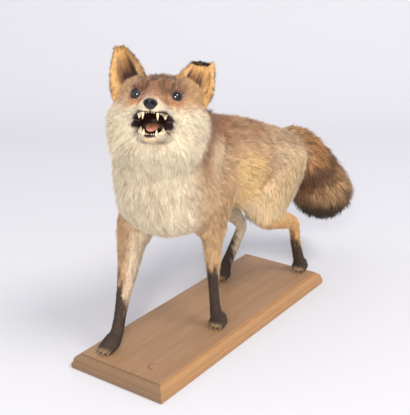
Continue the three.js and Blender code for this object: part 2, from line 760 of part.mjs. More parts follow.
for (const [name, hand] of [['eye_right', -1], ['eye_left', 1]]) {
  cutFrom('head', eyeBall(hand, EYE.radius + 2 * GAP));
  cutFrom('head', eyeBall(hand, GAZE.lidRadius, GAZE.reach));
  parts.set(name, eyeBall(hand, EYE.radius));
}

// ---------------------------------------------------------------- tongue

const tongueShape = chain([
  [34, 0, 3, 11, 5], [56, 0, 4.5, 9.5, 4.5], [74, 0, 4, 7.5, 3.5], [81, 0, 3, 5, 2.6],
], [0, 1, 0]);

function tongueSolid(grow) {
  const field = (p) => tongueShape(toJaw(toHead(p))) - grow;
  return meshField(field, [40, -290, 400], [115, -200, 470], CELL.tongue);
}

cutFrom('lower_jaw', tongueSolid(GAP));
parts.set('tongue', tongueSolid(0).subtract(regionSolid([headPlane(fromJaw([34, 0, 0]), [jawCos, 0, -jawSin])], 0)));

// ---------------------------------------------------------------- teeth

const TOOTH_SIDES = 4;

// A tooth is a cone from inside the gum to its tip, in head coordinates.
function tooth(root, tip, radius) {
  const from = new THREE.Vector3(...fromHead(root));
  const to = new THREE.Vector3(...fromHead(tip));
  const way = to.clone().sub(from);
  const cone = new THREE.CylinderGeometry(radius * 0.22, radius, way.length(), TOOTH_SIDES);
  cone.translate(0, way.length() / 2, 0);
  cone.applyQuaternion(new THREE.Quaternion().setFromUnitVectors(new THREE.Vector3(0, 1, 0), way.normalize()));
  cone.translate(from.x, from.y, from.z);
  return solidOfGeometry(cone);
}

// Each row: forward, side, height of the gum, length and radius. Sides are mirrored.
const UPPER_TEETH = [
  [62, 1.9, -31, 8.5, 1.9], [61, 5.4, -31, 8.5, 2], [56, 10.5, -31, 17.5, 3.3],
  [48, 12.6, -28.5, 9, 2.6], [40, 14.5, -27, 10, 3], [29, 17.5, -28, 14, 4.8],
];
const LOWER_TEETH = [
  [91, 1.9, -7, 7.5, 1.9], [90, 5.2, -7, 7.5, 1.9], [86, 9, -7, 16, 3.2],
  [77, 11.8, -6, 9.5, 2.6], [69, 14, -5.5, 11, 3.2], [60, 16.2, -5.5, 15, 5],
];

for (const hand of [-1, 1]) {
  for (const [f, s, u, length, radius] of UPPER_TEETH) {
    addTo('head', tooth([f, s * hand, u], [f - 0.5, (s + 1) * hand, u - length], radius));
  }
  for (const [f, s, u, length, radius] of LOWER_TEETH) {
    const root = fromJaw([f, s * hand, u]);
    const tip = fromJaw([f - 1, (s + 0.4) * hand, u + length]);
    addTo('lower_jaw', tooth(root, tip, radius));
  }
}

// ---------------------------------------------------------------- ears in place

const HEAD_SKIN = { low: [-75, -310, 370], high: [150, -90, 580] };

function headGrown() {
  const low = HEAD_SKIN.low.map((v, i) => v - 2 * CELL.head[i]);
  const high = HEAD_SKIN.high.map((v, i) => v + 2 * CELL.head[i]);
  return meshField((p) => bodyField(p) - 2 * GAP, low, high, CELL.head);
}

const grownHead = headGrown();
for (const [hand, ear] of Object.entries(EARS)) {
  parts.set(`ear_${hand}`, largestBody(earSolid(ear).subtract(grownHead)));
}

// ---------------------------------------------------------------- claws

// Four claws to a paw, curved down from the toes to just above the board.
function claw(place, way) {
  const turned = way.clone().rotateAround(new THREE.Vector2(), place.turn);
  const from = new THREE.Vector3(place.x - turned.x * 3, place.y - turned.y * 3, FLOOR + 7.5);
  const to = new THREE.Vector3(from.x + turned.x * CLAW.length, from.y + turned.y * CLAW.length, FLOOR + 1.6);
  const span = to.clone().sub(from);
  const cone = new THREE.CylinderGeometry(0.5, CLAW.radius, span.length(), CLAW.sides);
  cone.translate(0, span.length() / 2, 0);
  cone.applyQuaternion(new THREE.Quaternion().setFromUnitVectors(new THREE.Vector3(0, 1, 0), span.normalize()));
  cone.translate(from.x, from.y, from.z);
  return solidOfGeometry(cone);
}

for (const [key, limb] of Object.entries(limbs)) {
  const [pair, hand] = key.split('_');
  const { way, places } = pawLayout(limb.paw);
  for (const place of places) {
    addTo(`${hand}_${limbNames[pair][0]}`, claw(place, way));
  }
}

// ---------------------------------------------------------------- board

// The moulded edge, as [inset from the outer face, height]: a small step down from the flat,
// then a rounded nose, a small hollow and an upright face.
function boardProfile() {
  const { height, edge, step, face } = BOARD;
  const nose = 5;
  const rows = [[0, 0], [0, face], [2, face + 1.2]];
  for (let n = 0; n <= nose; n += 1) {
    const turn = n / nose * Math.PI / 2;
    rows.push([2.6 + (edge - 2.6) * (1 - Math.cos(turn)), face + 2 + (height - step - face - 2) * Math.sin(turn)]);
  }
  rows.push([edge, height]);
  return rows;
}

function boardSolid() {
  const rows = boardProfile();
  const positions = [];
  for (const [inset, z] of rows) {
    const [x, y] = [BOARD.width / 2 - inset, BOARD.length / 2 - inset];
    positions.push(x, y, z, -x, y, z, -x, -y, z, x, -y, z);
  }
  const triangles = [0, 2, 1, 0, 3, 2];
  for (let n = 0; n < rows.length - 1; n += 1) {
    for (let c = 0; c < 4; c += 1) {
      const [a, b] = [4 * n + c, 4 * n + (c + 1) % 4];
      triangles.push(a, b, b + 4, a, b + 4, a + 4);
    }
  }
  const top = 4 * (rows.length - 1);
  triangles.push(top, top + 1, top + 2, top, top + 2, top + 3);
  return outward(positions, triangles);
}

parts.set('base_board', boardSolid());

// ---------------------------------------------------------------- finishes and scene

const finish = (color, roughness) => () => new THREE.MeshStandardMaterial({ color, roughness, metalness: 0 });
const finishes = {
  cream: finish(0xe6d6b0, 0.95),
  tan: finish(0xc98f58, 0.95),
  rust: finish(0xa8744c, 0.95),
  brush: finish(0x7a5a42, 0.95),
  dark: finish(0x3f332c, 0.9),
  ear: finish(0xb98845, 0.9),
  nose: finish(0x2c2f35, 0.5),
  glass: finish(0x0c0d10, 0.08),
  tongue: finish(0xc67c5c, 0.6),
  wood: finish(0xa8815c, 0.6),
};
const FINISH_OF = {
  base_board: 'wood', head: 'tan', lower_jaw: 'cream', nose: 'nose', tongue: 'tongue', eye_left: 'glass',
  eye_right: 'glass', ear_left: 'ear', ear_right: 'ear', neck: 'cream', chest: 'cream', barrel: 'rust',
  hindquarters: 'tan', tail_root: 'rust', tail_middle: 'brush', tail_tip: 'brush',
};
for (const hand of ['left', 'right']) {
  for (const [paw, leg, upper] of Object.values(limbNames)) {
    FINISH_OF[`${hand}_${paw}`] = 'dark';
    FINISH_OF[`${hand}_${leg}`] = 'tan';
    FINISH_OF[`${hand}_${upper}`] = 'tan';
  }
}

function meshOf(name, solid) {
  const { vertProperties, triVerts } = solid.getMesh();
  const geometry = new THREE.BufferGeometry();
  geometry.setAttribute('position', new THREE.BufferAttribute(vertProperties, 3));
  geometry.setIndex(new THREE.BufferAttribute(triVerts, 1));
  geometry.computeVertexNormals();
  const mesh = new THREE.Mesh(geometry, finishes[FINISH_OF[name]]());
  mesh.name = name;
  return mesh;
}

const fox = new THREE.Group();
for (const [name, solid] of parts) {
  fox.add(meshOf(name, solid));
}

export default fox;
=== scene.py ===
# A mounted red fox on a moulded wooden board: its skin, coat, glass eyes, nose, teeth, tongue,
# claws and whiskers, and the board.
#
# The shape is worked out in millimetres, in the row frame: +Z is up, the fox faces -Y and its
# left side is +X. The skin is the zero surface of one distance function, made of chains of
# oval bars and balls that are blended where flesh runs together. Each shape is set in by the
# depth of the coat that grows on it, and the coat is solid tufts rooted on the skin.

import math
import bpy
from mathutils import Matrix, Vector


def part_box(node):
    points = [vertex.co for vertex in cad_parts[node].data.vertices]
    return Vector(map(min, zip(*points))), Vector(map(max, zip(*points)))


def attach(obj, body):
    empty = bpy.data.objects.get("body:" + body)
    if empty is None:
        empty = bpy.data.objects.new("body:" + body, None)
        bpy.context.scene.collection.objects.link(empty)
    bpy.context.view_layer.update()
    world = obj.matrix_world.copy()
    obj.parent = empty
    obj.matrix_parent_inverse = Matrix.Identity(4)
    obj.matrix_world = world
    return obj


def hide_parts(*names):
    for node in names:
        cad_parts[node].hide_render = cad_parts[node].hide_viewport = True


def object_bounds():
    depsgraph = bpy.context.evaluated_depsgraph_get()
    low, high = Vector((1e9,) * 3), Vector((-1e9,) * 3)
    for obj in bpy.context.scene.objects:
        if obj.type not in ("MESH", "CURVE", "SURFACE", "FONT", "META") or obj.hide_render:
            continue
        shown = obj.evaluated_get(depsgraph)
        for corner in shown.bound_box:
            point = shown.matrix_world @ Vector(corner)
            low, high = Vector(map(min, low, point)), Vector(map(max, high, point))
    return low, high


bl_info = {
    "name": "Mounted red fox",
    "version": (1, 0, 0),
    "blender": (4, 5, 0),
    "location": "3D View > Sidebar > Fox",
    "description": "Builds the skin, coat, eyes, mouth, claws and board of a mounted fox",
    "category": "Object",
}

import bpy
import numpy as np
from bpy.props import FloatProperty, FloatVectorProperty, IntProperty, PointerProperty
from mathutils import Vector
from mathutils.kdtree import KDTree

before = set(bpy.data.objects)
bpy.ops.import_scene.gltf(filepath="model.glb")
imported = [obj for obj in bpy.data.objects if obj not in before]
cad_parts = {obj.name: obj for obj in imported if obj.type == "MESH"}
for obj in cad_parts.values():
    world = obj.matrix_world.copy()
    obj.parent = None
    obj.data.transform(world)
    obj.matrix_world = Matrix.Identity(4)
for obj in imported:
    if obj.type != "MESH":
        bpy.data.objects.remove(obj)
CAD_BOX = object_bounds()
MM = 0.001

# -------- the fox's sizes

# The paws stand GAP above the board.
GAP = 0.4
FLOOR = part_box("base_board")[1].z / MM + GAP
HEAD_AT = np.array([48.0, -213.0, 485.0])
HEAD_TURN = {"yaw": 33.0, "pitch": 22.7, "roll": 3.5}
EYE_AT = np.array([-3.0, 29.5, 0.0])
EYE_RADIUS = 7.6
# A glass eye's depth against its width. Its front stays where it is.
EYE_DEPTH = 0.74
JAW_HINGE = np.array([-38.0, 0.0, -38.0])
JAW_GAPE = 17.0
NOSE_AT = np.array([71.0, 0.0, -25.0])
NOSE_SIZE = np.array([8.0, 9.0, 8.0])
# The edges of the open mouth: where its corner is, how the upper lip rises and arches, how the
# lower one drops, how round the corner is, and where the space between them ends.
LIPS = {
    "corner": 15.0, "height": -41.0, "rise": 0.40, "arch": 0.0075, "drop": 0.56, "round": 6.0,
    "end": 90.0, "wide": 42.0,
}

# The skin's mesh has points about SKIN_CELL apart. A shape is worked out within MARGIN of its
# own box and is FAR away outside it. Slopes are taken over PROBE.
SKIN_CELL = 4.6
FAR = 1000.0
MARGIN = 45.0
PROBE = 0.3


def srgb(red, green, blue):
    """A colour given as 0 to 255 on a screen, as linear light."""
    c = np.array([red, green, blue]) / 255.0
    return tuple(np.where(c <= 0.04045, c / 12.92, ((c + 0.055) / 1.055) ** 2.4))


# -------- small helpers


def mix(a, b, t):
    return a + (b - a) * t


def step(low, high, value):
    """0 below low and 1 above high, with a smooth rise between. low may be the larger."""
    t = np.clip((value - low) / (high - low), 0.0, 1.0)
    return t * t * (3.0 - 2.0 * t)


def paint(colours, tint, mask):
    """Lays a tint over an array of colours where mask is 1."""
    return colours + (np.array(tint) - colours) * np.asarray(mask)[:, None]


class Paint:
    """Colours of count points: a ground at some strength, and what is laid over it."""

    def __init__(self, tones, ground, count, strength=(1.0, 1.0, 1.0)):
        self.tones = tones
        self.colours = np.tile(np.array(tones[ground]) * np.array(strength), (count, 1))

    def lay(self, tint, mask):
        """Lays one of the tones, or another colour, where mask is 1."""
        tint = self.tones[tint] if isinstance(tint, str) else tint
        self.colours = paint(self.colours, tint, mask)
        return self.colours


def norm(v):
    """The length of each row."""
    return np.linalg.norm(v, axis=1)


def columns(*parts):
    """The parts side by side, as the columns of one array."""
    return np.stack(parts, axis=1)


def unit(v):
    return v / np.maximum(np.linalg.norm(v, axis=-1, keepdims=True), 1e-9)


def join(a, b, soft):
    """Smooth union of two distances, with a blend about soft mm wide."""
    h = np.maximum(soft - np.abs(a - b), 0.0) / soft
    return np.minimum(a, b) - h * h * soft / 4.0


def carve(a, b, soft):
    """Smooth cut: a where b is above zero."""
    return -join(-a, b, soft)


def noise(p, scale, seed=0.0):
    """Smooth random values from 0 to 1 over space, with bumps about scale mm apart."""
    q = p / scale + seed * 17.31
    cell = np.floor(q)
    t = q - cell
    t = t * t * (3.0 - 2.0 * t)
    total = np.zeros(len(p))
    for corner in np.ndindex(2, 2, 2):
        corner = np.array(corner)
        ids = cell + corner
        value = np.sin(ids @ np.array([127.1, 311.7, 74.7])) * 43758.5453
        value = value - np.floor(value)
        weight = np.prod(np.where(corner == 1, t, 1.0 - t), axis=1)
        total += value * weight
    return total


def streaks(p, stretch, scale, seed):
    """Smooth random values drawn out along the axes where stretch is below 1."""
    return noise(p * np.array(stretch), scale, seed)


# -------- shapes


def smooth_stations(stations, parts):
    """A smooth run through stations of equal length, by Catmull and Rom's rule."""
    s = np.array(stations, float)
    last = len(s) - 1
    run = []
    for i in range(last):
        p, q, r, z = s[max(i - 1, 0)], s[i], s[i + 1], s[min(i + 2, last)]
        for j in range(parts):
            t = j / parts
            bend = 2 * p - 5 * q + 4 * r - z + t * (3 * (q - r) + z - p)
            run.append(q + 0.5 * t * (r - p + t * bend))
    run.append(s[last])
    return np.array(run)


class Shape:
    """A distance that is only worked out near its own box."""

    def __init__(self, low, high):
        self.low = np.array(low, float) - MARGIN
        self.high = np.array(high, float) + MARGIN

    def __call__(self, p):
        near = np.all((p > self.low) & (p < self.high), axis=1)
        d = np.full(len(p), FAR)
        if near.any():
            d[near] = self.measure(p[near])
        return d


class Chain(Shape):
    """Oval bars through stations of [x, y, z, half width, half depth], the width along side.

    coat is how far the skin lies inside the outline, at the first and the last station.
    """

    def __init__(self, stations, side=(1, 0, 0), parts=3, coat=(0.0, 0.0)):
        run = smooth_stations(stations, parts)
        depth = np.linspace(coat[0], coat[1], len(run))
        run[:, 3:5] = np.maximum(run[:, 3:5] - depth[:, None], 1.0)
        self.run = run
        self.side = np.array(side, float)
        reach = run[:, 3:5].max(axis=1)[:, None]
        super().__init__((run[:, :3] - reach).min(axis=0), (run[:, :3] + reach).max(axis=0))

    def bars(self, p):
        """For each bar, its direction and the distance of every point from it."""
        for a, b in zip(self.run[:-1], self.run[1:]):
            v = b[:3] - a[:3]
            off = p - a[:3]
            t = np.clip(off @ v / (v @ v), 0.0, 1.0)
            off = off - t[:, None] * v
            across = off @ self.side
            size2 = np.einsum("ij,ij->i", off, off)
            rest2 = np.maximum(size2 - across * across, 0.0)
            wide = a[3] + (b[3] - a[3]) * t
            deep = a[4] + (b[4] - a[4]) * t
            k = np.maximum(np.sqrt((across / wide) ** 2 + rest2 / (deep * deep)), 1e-6)
            yield v, np.sqrt(size2) * (1.0 - 1.0 / k)

    def measure(self, p):
        best = np.full(len(p), FAR)
        for _, d in self.bars(p):
            best = np.minimum(best, d)
        return best

    def flow(self, p):
        """The way along the chain at each point, from its first station to its last."""
        total = np.zeros_like(p)
        for v, d in self.bars(p):
            total += unit(v) * np.exp(-np.clip(d, -60, 200) / 7.0)[:, None]
        return unit(total)


class Ball(Shape):
    """An oval ball, leaned by some degrees about its second axis."""

    def __init__(self, centre, radii, lean=0.0, coat=0.0):
        self.centre = np.array(centre, float)
        self.radii = np.maximum(np.array(radii, float) - coat, 1.0)
        self.lean = math.radians(lean)
        reach = self.radii.max()
        super().__init__(self.centre - reach, self.centre + reach)

    def measure(self, p):
        q = p - self.centre
        a = q[:, 0] * math.cos(self.lean) + q[:, 2] * math.sin(self.lean)
        b = q[:, 2] * math.cos(self.lean) - q[:, 0] * math.sin(self.lean)
        r = self.radii
        k = np.maximum(np.sqrt((a / r[0]) ** 2 + (q[:, 1] / r[1]) ** 2 + (b / r[2]) ** 2), 1e-6)
        return norm(q) * (1.0 - 1.0 / k)


def mirrored(h):
    """Head points with their left and right halves laid on each other."""
    return h * np.array([1.0, 0.0, 1.0]) + np.abs(h) * np.array([0.0, 1.0, 0.0])


# -------- head frame


def head_axes():
    """Forward, left and up of the head, as the rows of a matrix."""
    yaw, pitch, roll = (math.radians(HEAD_TURN[k]) for k in ("yaw", "pitch", "roll"))
    level = np.array([math.sin(yaw), -math.cos(yaw), 0.0])
    side = np.array([math.cos(yaw), math.sin(yaw), 0.0])
    forward = level * math.cos(pitch) + np.array([0.0, 0.0, math.sin(pitch)])
    up = -level * math.sin(pitch) + np.array([0.0, 0.0, math.cos(pitch)])
    return np.array([
        forward,
        side * math.cos(roll) - up * math.sin(roll),
        up * math.cos(roll) + side * math.sin(roll),
    ])


HEAD_AXES = head_axes()
JAW_COS = math.cos(math.radians(JAW_GAPE))
JAW_SIN = math.sin(math.radians(JAW_GAPE))


def to_head(p):
    return (p - HEAD_AT) @ HEAD_AXES.T


def from_head(h):
    return HEAD_AT + np.asarray(h, float) @ HEAD_AXES


def to_jaw(h):
    q = h - JAW_HINGE
    forward = q[:, 0] * JAW_COS - q[:, 2] * JAW_SIN
    return columns(forward, q[:, 1], q[:, 2] * JAW_COS + q[:, 0] * JAW_SIN)


def from_jaw(j):
    j = np.asarray(j, float)
    forward = j[..., 0] * JAW_COS + j[..., 2] * JAW_SIN
    up = j[..., 2] * JAW_COS - j[..., 0] * JAW_SIN
    return JAW_HINGE + np.stack([forward, j[..., 1], up], axis=-1)


# -------- the head's flesh

ACROSS = (0, 1, 0)
CRANIUM = Ball([-42, 0, -6.5], [44, 50, 33], 4, coat=5.0)
FOREHEAD = Ball([-13, 0, -4], [31, 31, 24], -24, coat=2.5)
TEMPLE = Ball([-44, 34, 0], [30, 22, 22], coat=4.0)
MUZZLE = Chain(
    [[-8, 0, -13, 30, 24], [16, 0, -15, 21, 18.5], [38, 0, -19, 16.5, 15.5], [48, 0, -22, 15, 13.5],
     [55, 0, -23.5, 12, 11.5]],
    ACROSS, coat=(1.2, 0.6),
)
WHISKER_PAD = Ball([48, 9, -29], [18, 11, 9.5], -4, coat=0.6)
UPPER_LIP = Chain(
    [[60, 5, -30, 8, 8], [46, 12, -28, 8, 9], [26, 17.5, -27, 9, 9.5], [4, 26, -33, 11, 10]],
    ACROSS, 1, coat=(0.6, 1.5),
)
BROW = Ball([-8, 22, 10], [14, 13, 8], -20, coat=1.2)
CHEEKBONE = Ball([-13, 29, -20], [26, 20, 18], -6, coat=1.8)
CHEEK = Ball([-34, 42, -34], [34, 30, 32], coat=7.0)
RUFF = Ball([-60, 46, -35], [36, 30, 37], coat=11.0)
# How much nearer to the middle the left cheek and ruff lie than the right ones.
LEFT_FLATTER = {"cheek": 3.5, "ruff": 11.0}
THROAT = Ball([-40, 0, -66], [42, 48, 26], coat=5.0)
LIP_CORNER = Ball([24, 24, -46.5], [15, 9, 10.5], coat=0.8)
EYE_HOLLOW = Ball([10, 32, -0.5], [14, 10, 9])
JAW = Chain(
    [[12, 0, -14, 28, 14], [44, 0, -9, 24, 12], [74, 0, -7.5, 17, 9], [90, 0, -6.8, 10, 6.6]],
    ACROSS, coat=(3.0, 0.8),
)
PALATE = Ball([30, 0, -38], [38, 14, 8], -3)
GULLET = Ball([-4, 0, -47], [30, 24, 11], -9)
JAW_FLOOR = Ball([60, 0, 1], [32, 12, 6])
NOSE_SEAT = Ball([NOSE_AT[0] - 8.5, 0, NOSE_AT[2]], NOSE_SIZE - 0.8)


def mouth_field(h):
    """The space of the open mouth: a wedge between the lips, the palate, gullet and jaw floor."""
    ahead = h[:, 0] - LIPS["corner"]
    round_off = LIPS["round"] * (1.0 - np.exp(-np.clip(ahead, 0, 100) / LIPS["round"]))
    wedge = np.maximum.reduce([
        h[:, 2] - LIPS["height"] - (LIPS["rise"] - LIPS["arch"] * ahead) * ahead - round_off * 0.35,
        LIPS["height"] - LIPS["drop"] * ahead - round_off - h[:, 2],
        -ahead,
        h[:, 0] - LIPS["end"],
        np.abs(h[:, 1]) - LIPS["wide"],
    ])
    inside = join(PALATE(h), GULLET(h), 8.0)
    return join(join(wedge, inside, 4.0), JAW_FLOOR(to_jaw(h)), 4.0)


# The lids: a thin cover over the ball, open in front, a little wider than high.
LID = {"cover": 1.5, "wide": 7.1, "high": 6.8, "slant": 6.0}
GAZE = unit(np.array([0.97, 0.22, 0.0]))


def lid_fields(m):
    """The cover round the eyeball, and the opening between the lids."""
    q = m - EYE_AT
    cover = norm(q) - EYE_RADIUS - LID["cover"]
    along = q @ GAZE
    across = q @ unit(np.array([-GAZE[1], GAZE[0], 0.0]))
    slant = math.radians(LID["slant"])
    a = across * math.cos(slant) + q[:, 2] * math.sin(slant)
    b = q[:, 2] * math.cos(slant) - across * math.sin(slant)
    round_it = (np.sqrt((a / LID["wide"]) ** 2 + (b / LID["high"]) ** 2) - 1.0) * LID["high"]
    return cover, np.maximum(round_it, 1.0 - along)


def flesh_field(h):
    """The head and the jaw together, before the mouth is opened."""
    m = mirrored(h)
    d = join(CRANIUM(h), FOREHEAD(h), 14.0)
    d = join(d, TEMPLE(m), 12.0)
    d = join(d, MUZZLE(h), 14.0)
    d = join(d, WHISKER_PAD(m), 6.0)
    d = join(d, UPPER_LIP(m), 6.0)
    d = join(d, BROW(m), 8.0)
    d = join(d, CHEEKBONE(m), 12.0)
    left = np.where(h[:, 1:2] > 0, 1.0, 0.0) * np.array([0.0, 1.0, 0.0])
    d = join(d, CHEEK(m + left * LEFT_FLATTER["cheek"]), 16.0)
    d = join(d, RUFF(m + left * LEFT_FLATTER["ruff"]), 18.0)
    d = join(d, THROAT(h), 16.0)
    d = carve(d, EYE_HOLLOW(m), 5.0)
    cover, opening = lid_fields(m)
    d = join(d, cover, 3.0)
    d = carve(d, opening, 1.2)
    d = join(d, NOSE_SEAT(h), 3.0)
    d = join(d, LIP_CORNER(m), 8.0)
    return join(d, JAW(to_jaw(h)), 8.0)


HEAD_REACH = 150.0


def head_field(p):
    d = np.full(len(p), FAR)
    near = norm(p - HEAD_AT) < HEAD_REACH
    if near.any():
        h = to_head(p[near])
        d[near] = carve(flesh_field(h), mouth_field(h), 2.5)
    return d


# -------- the body's flesh

TRUNK = Chain(
    [[0, -126, 317, 80, 83], [0, -60, 317, 77, 104], [0, 20, 316, 71, 92], [0, 95, 308, 67, 79],
     [0, 165, 292, 64, 70], [0, 235, 274, 60, 60], [0, 262, 266, 50, 50]],
    coat=(12.0, 6.0),
)
SCRUFF = Ball([47, -98, 390], [34, 44, 44], coat=9.0)
BRISKET = Ball([-4, -142, 285], [72, 44, 31], coat=8.0)
NECK = Chain(
    [[20, -160, 444, 62, 58], [10, -154, 405, 81, 76], [4, -142, 360, 85, 82], [0, -126, 311, 84, 79]],
    coat=(9.0, 9.0),
)
FLANK = Chain([[34, 40, 262, 22, 24], [46, 88, 226, 22, 30]], parts=1, coat=(5.0, 5.0))
TAIL = Chain(
    [[0, 250, 298, 27, 27], [3, 287, 295, 33, 36], [12, 326, 264, 43, 45], [27, 354, 218, 54, 52],
     [36, 372, 178, 66, 57], [26, 403, 152, 46, 46], [12, 436, 132, 24, 26]],
    coat=(9.0, 15.0),
)
LIMBS = {
    "fore_right": {
        "bones": [
            [-50, -112, 290, 41, 58], [-58, -136, 240, 36, 40], [-59, -154, 205, 27, 28],
            [-58, -168, 160, 21, 21], [-57, -184, 115, 15, 15.5], [-56, -197, 78, 12.2, 13],
            [-53, -210, 52, 13, 12], [-51, -226, 41, 15, 11],
        ],
        "heel": [-51, -226], "toes": [-51, -248],
    },
    "fore_left": {
        "bones": [
            [46, -66, 290, 36, 54], [51, -68, 240, 26, 36], [52, -68, 205, 19, 22],
            [53, -68, 160, 15.5, 17], [53, -66, 118, 11.5, 12.5], [53, -62, 80, 11, 12],
            [53, -56, 52, 13, 12], [53, -50, 41, 14, 11],
        ],
        "heel": [53, -46], "toes": [54, -62],
    },
    "hind_right": {
        "bones": [
            [-34, 200, 262, 36, 58], [-48, 148, 230, 29, 46], [-56, 126, 205, 24, 32],
            [-58, 155, 172, 20, 24], [-58, 186, 140, 15, 17], [-58, 200, 120, 12.5, 15],
            [-58, 172, 84, 12, 13.5], [-57, 142, 55, 12.5, 12.5], [-56, 130, 42, 14, 11],
        ],
        "heel": [-56, 130], "toes": [-55, 114],
    },
    "hind_left": {
        "bones": [
            [36, 202, 258, 38, 60], [49, 148, 228, 32, 50], [56, 112, 207, 26, 34],
            [58, 156, 177, 21, 23], [57, 200, 156, 15, 17], [56, 221, 142, 12.5, 15],
            [55, 232, 105, 11.5, 13], [55, 248, 62, 12.5, 12], [55, 256, 43, 14, 11],
        ],
        "heel": [55, 262], "toes": [56, 246],
    },
}
TOE = {"radius": 6.2, "length": 10.0, "height": 8.5, "spread": 13.0, "bow": 5.0, "turn": 0.2}
TOE_PLACES = (-1.0, -0.36, 0.36, 1.0)
PAD = {"wide": 13.5, "deep": 9.0, "height": 12.0, "back": 8.0}
PAW_COAT = 0.8


def paw_layout(limb):
    """Which way a paw points, and where its four toes and claws stand."""
    heel, toes = np.array(limb["heel"], float), np.array(limb["toes"], float)
    way = unit(toes - heel)
    across = np.array([-way[1], way[0]])
    places = []
    for k in TOE_PLACES:
        at = toes + across * TOE["spread"] * k * 0.82 - way * TOE["bow"] * k * k
        places.append((at, TOE["turn"] * k))
    return way, across, places


def paw_shapes(limb):
    """The pad and the four toes, as shapes."""
    way, across, places = paw_layout(limb)
    side = (*across, 0.0)
    heel, toes = np.array(limb["heel"], float), np.array(limb["toes"], float)
    back = toes - way * PAD["back"]
    pad = Chain(
        [[*heel, FLOOR + PAD["height"] + 3.0, PAD["wide"], PAD["deep"] + 4.0],
         [*back, FLOOR + PAD["height"] - 2.0, PAD["wide"], PAD["deep"]]],
        side, 1, coat=(PAW_COAT, PAW_COAT),
    )
    ends = []
    for at, _ in places:
        root = at - way * TOE["length"]
        ends.append(Chain(
            [[*root, FLOOR + TOE["height"] + 3.0, TOE["radius"], TOE["radius"]],
             [*at, FLOOR + TOE["height"] - 1.0, TOE["radius"], TOE["radius"]]],
            side, 1, coat=(PAW_COAT, PAW_COAT),
        ))
    return pad, ends


for limb in LIMBS.values():
    limb["chain"] = Chain(limb["bones"], coat=(6.5, 0.6))
    limb["pad"], limb["ends"] = paw_shapes(limb)


def limb_field(limb, p):
    paw = limb["pad"](p)
    for toe in limb["ends"]:
        paw = join(paw, toe(p), 2.2)
    return np.maximum(join(limb["chain"](p), paw, 8.0), FLOOR + 0.2 - p[:, 2])


def skin_field(p):
    """The whole skin: below zero inside the fox."""
    d = join(TRUNK(p), NECK(p), 40.0)
    d = join(join(d, FLANK(p), 24.0), join(BRISKET(p), SCRUFF(p), 20.0), 30.0)
    for name, limb in LIMBS.items():
        d = join(d, limb_field(limb, p), 26.0 if name == "fore_left" else 18.0)
    d = join(d, head_field(p), 46.0)
    return join(d, TAIL(p), 14.0)


def slope(field, p):
    """The field at each point, and the way in which it rises."""
    here = field(p)
    rise = np.stack([field(p + PROBE * axis) - here for axis in np.eye(3)], axis=1) / PROBE
    return here, rise


# -------- meshing a field


CORNERS = list(np.ndindex(2, 2, 2))


def shifted(grid, corner, cells):
    """The part of a grid that has cells places from a corner on."""
    return grid[tuple(slice(c, c + n) for c, n in zip(corner, cells))]


def grid_values(field, low, size, cell):
    """The field on a grid, worked out finely only where the surface can be."""
    block = 4
    rough_size = -(-size // block) + 1
    axes = [low[i] + np.arange(rough_size[i]) * cell * block for i in range(3)]
    rough_points = np.stack(np.meshgrid(*axes, indexing="ij"), axis=-1).reshape(-1, 3)
    rough = field(rough_points).reshape(rough_size)
    blocks = rough_size - 1
    nearest = np.full(blocks, FAR)
    for corner in CORNERS:
        nearest = np.minimum(nearest, np.abs(shifted(rough, corner, blocks)))
    near = nearest < cell * block * 1.6
    index = [np.minimum(np.arange(size[i]) // block, blocks[i] - 1) for i in range(3)]
    grid = np.ix_(*index)
    values = rough[:-1, :-1, :-1][grid].copy()
    close = near[grid]
    where = np.argwhere(close)
    values[close] = field(low + where * cell)
    return values


def surface_net(field, low, high, cell):
    """Points and triangles of the surface where field is zero, a point to each crossed cell."""
    low = np.array(low, float)
    size = np.ceil((np.array(high, float) - low) / cell).astype(int) + 1
    values = grid_values(field, low, size, cell)
    inside = values < 0.0
    cells = size - 1
    count = np.zeros(cells, int)
    for corner in CORNERS:
        count += shifted(inside, corner, cells)
    crossed = (count > 0) & (count < 8)
    number = np.full(cells, -1)
    number[crossed] = np.arange(crossed.sum())
    where = np.argwhere(crossed)
    total = np.zeros((len(where), 3))
    hits = np.zeros(len(where))
    for c in CORNERS:
        for axis in np.eye(3, dtype=int):
            if c @ axis:
                continue
            a = values[tuple((where + c).T)]
            b = values[tuple((where + c + axis).T)]
            cut = (a < 0.0) != (b < 0.0)
            t = a[cut] / (a[cut] - b[cut])
            total[cut] += np.array(c) + t[:, None] * axis
            hits[cut] += 1
    points = low + (where + total / hits[:, None]) * cell
    triangles = []
    for axis in range(3):
        e, u, w = (np.roll(np.eye(3, dtype=int), k, axis=0)[axis] for k in (0, -1, -2))
        span = size - e
        a = inside[:span[0], :span[1], :span[2]]
        b = inside[e[0]:, e[1]:, e[2]:]
        at = np.argwhere(a != b)
        open_side = (at @ u > 0) & (at @ w > 0) & (at @ u < size @ u - 1) & (at @ w < size @ w - 1)
        at = at[open_side]
        ring = [number[tuple((at - k).T)] for k in (0 * u, u, u + w, w)]
        flip = ~a[tuple(at.T)]
        ring = np.stack(ring, axis=1)
        ring[flip] = ring[flip][:, ::-1]
        triangles.append(ring[:, [0, 1, 2]])
        triangles.append(ring[:, [0, 2, 3]])
    return points, np.concatenate(triangles)


def settle(field, points, rounds=2, most=3.0):
    """Draws points onto the surface, along its slope."""
    for _ in range(rounds):
        here, rise = slope(field, points)
        size2 = np.maximum(np.einsum("ij,ij->i", rise, rise), 0.2)
        points = points - rise * np.clip(here / size2, -most, most)[:, None]
    return points


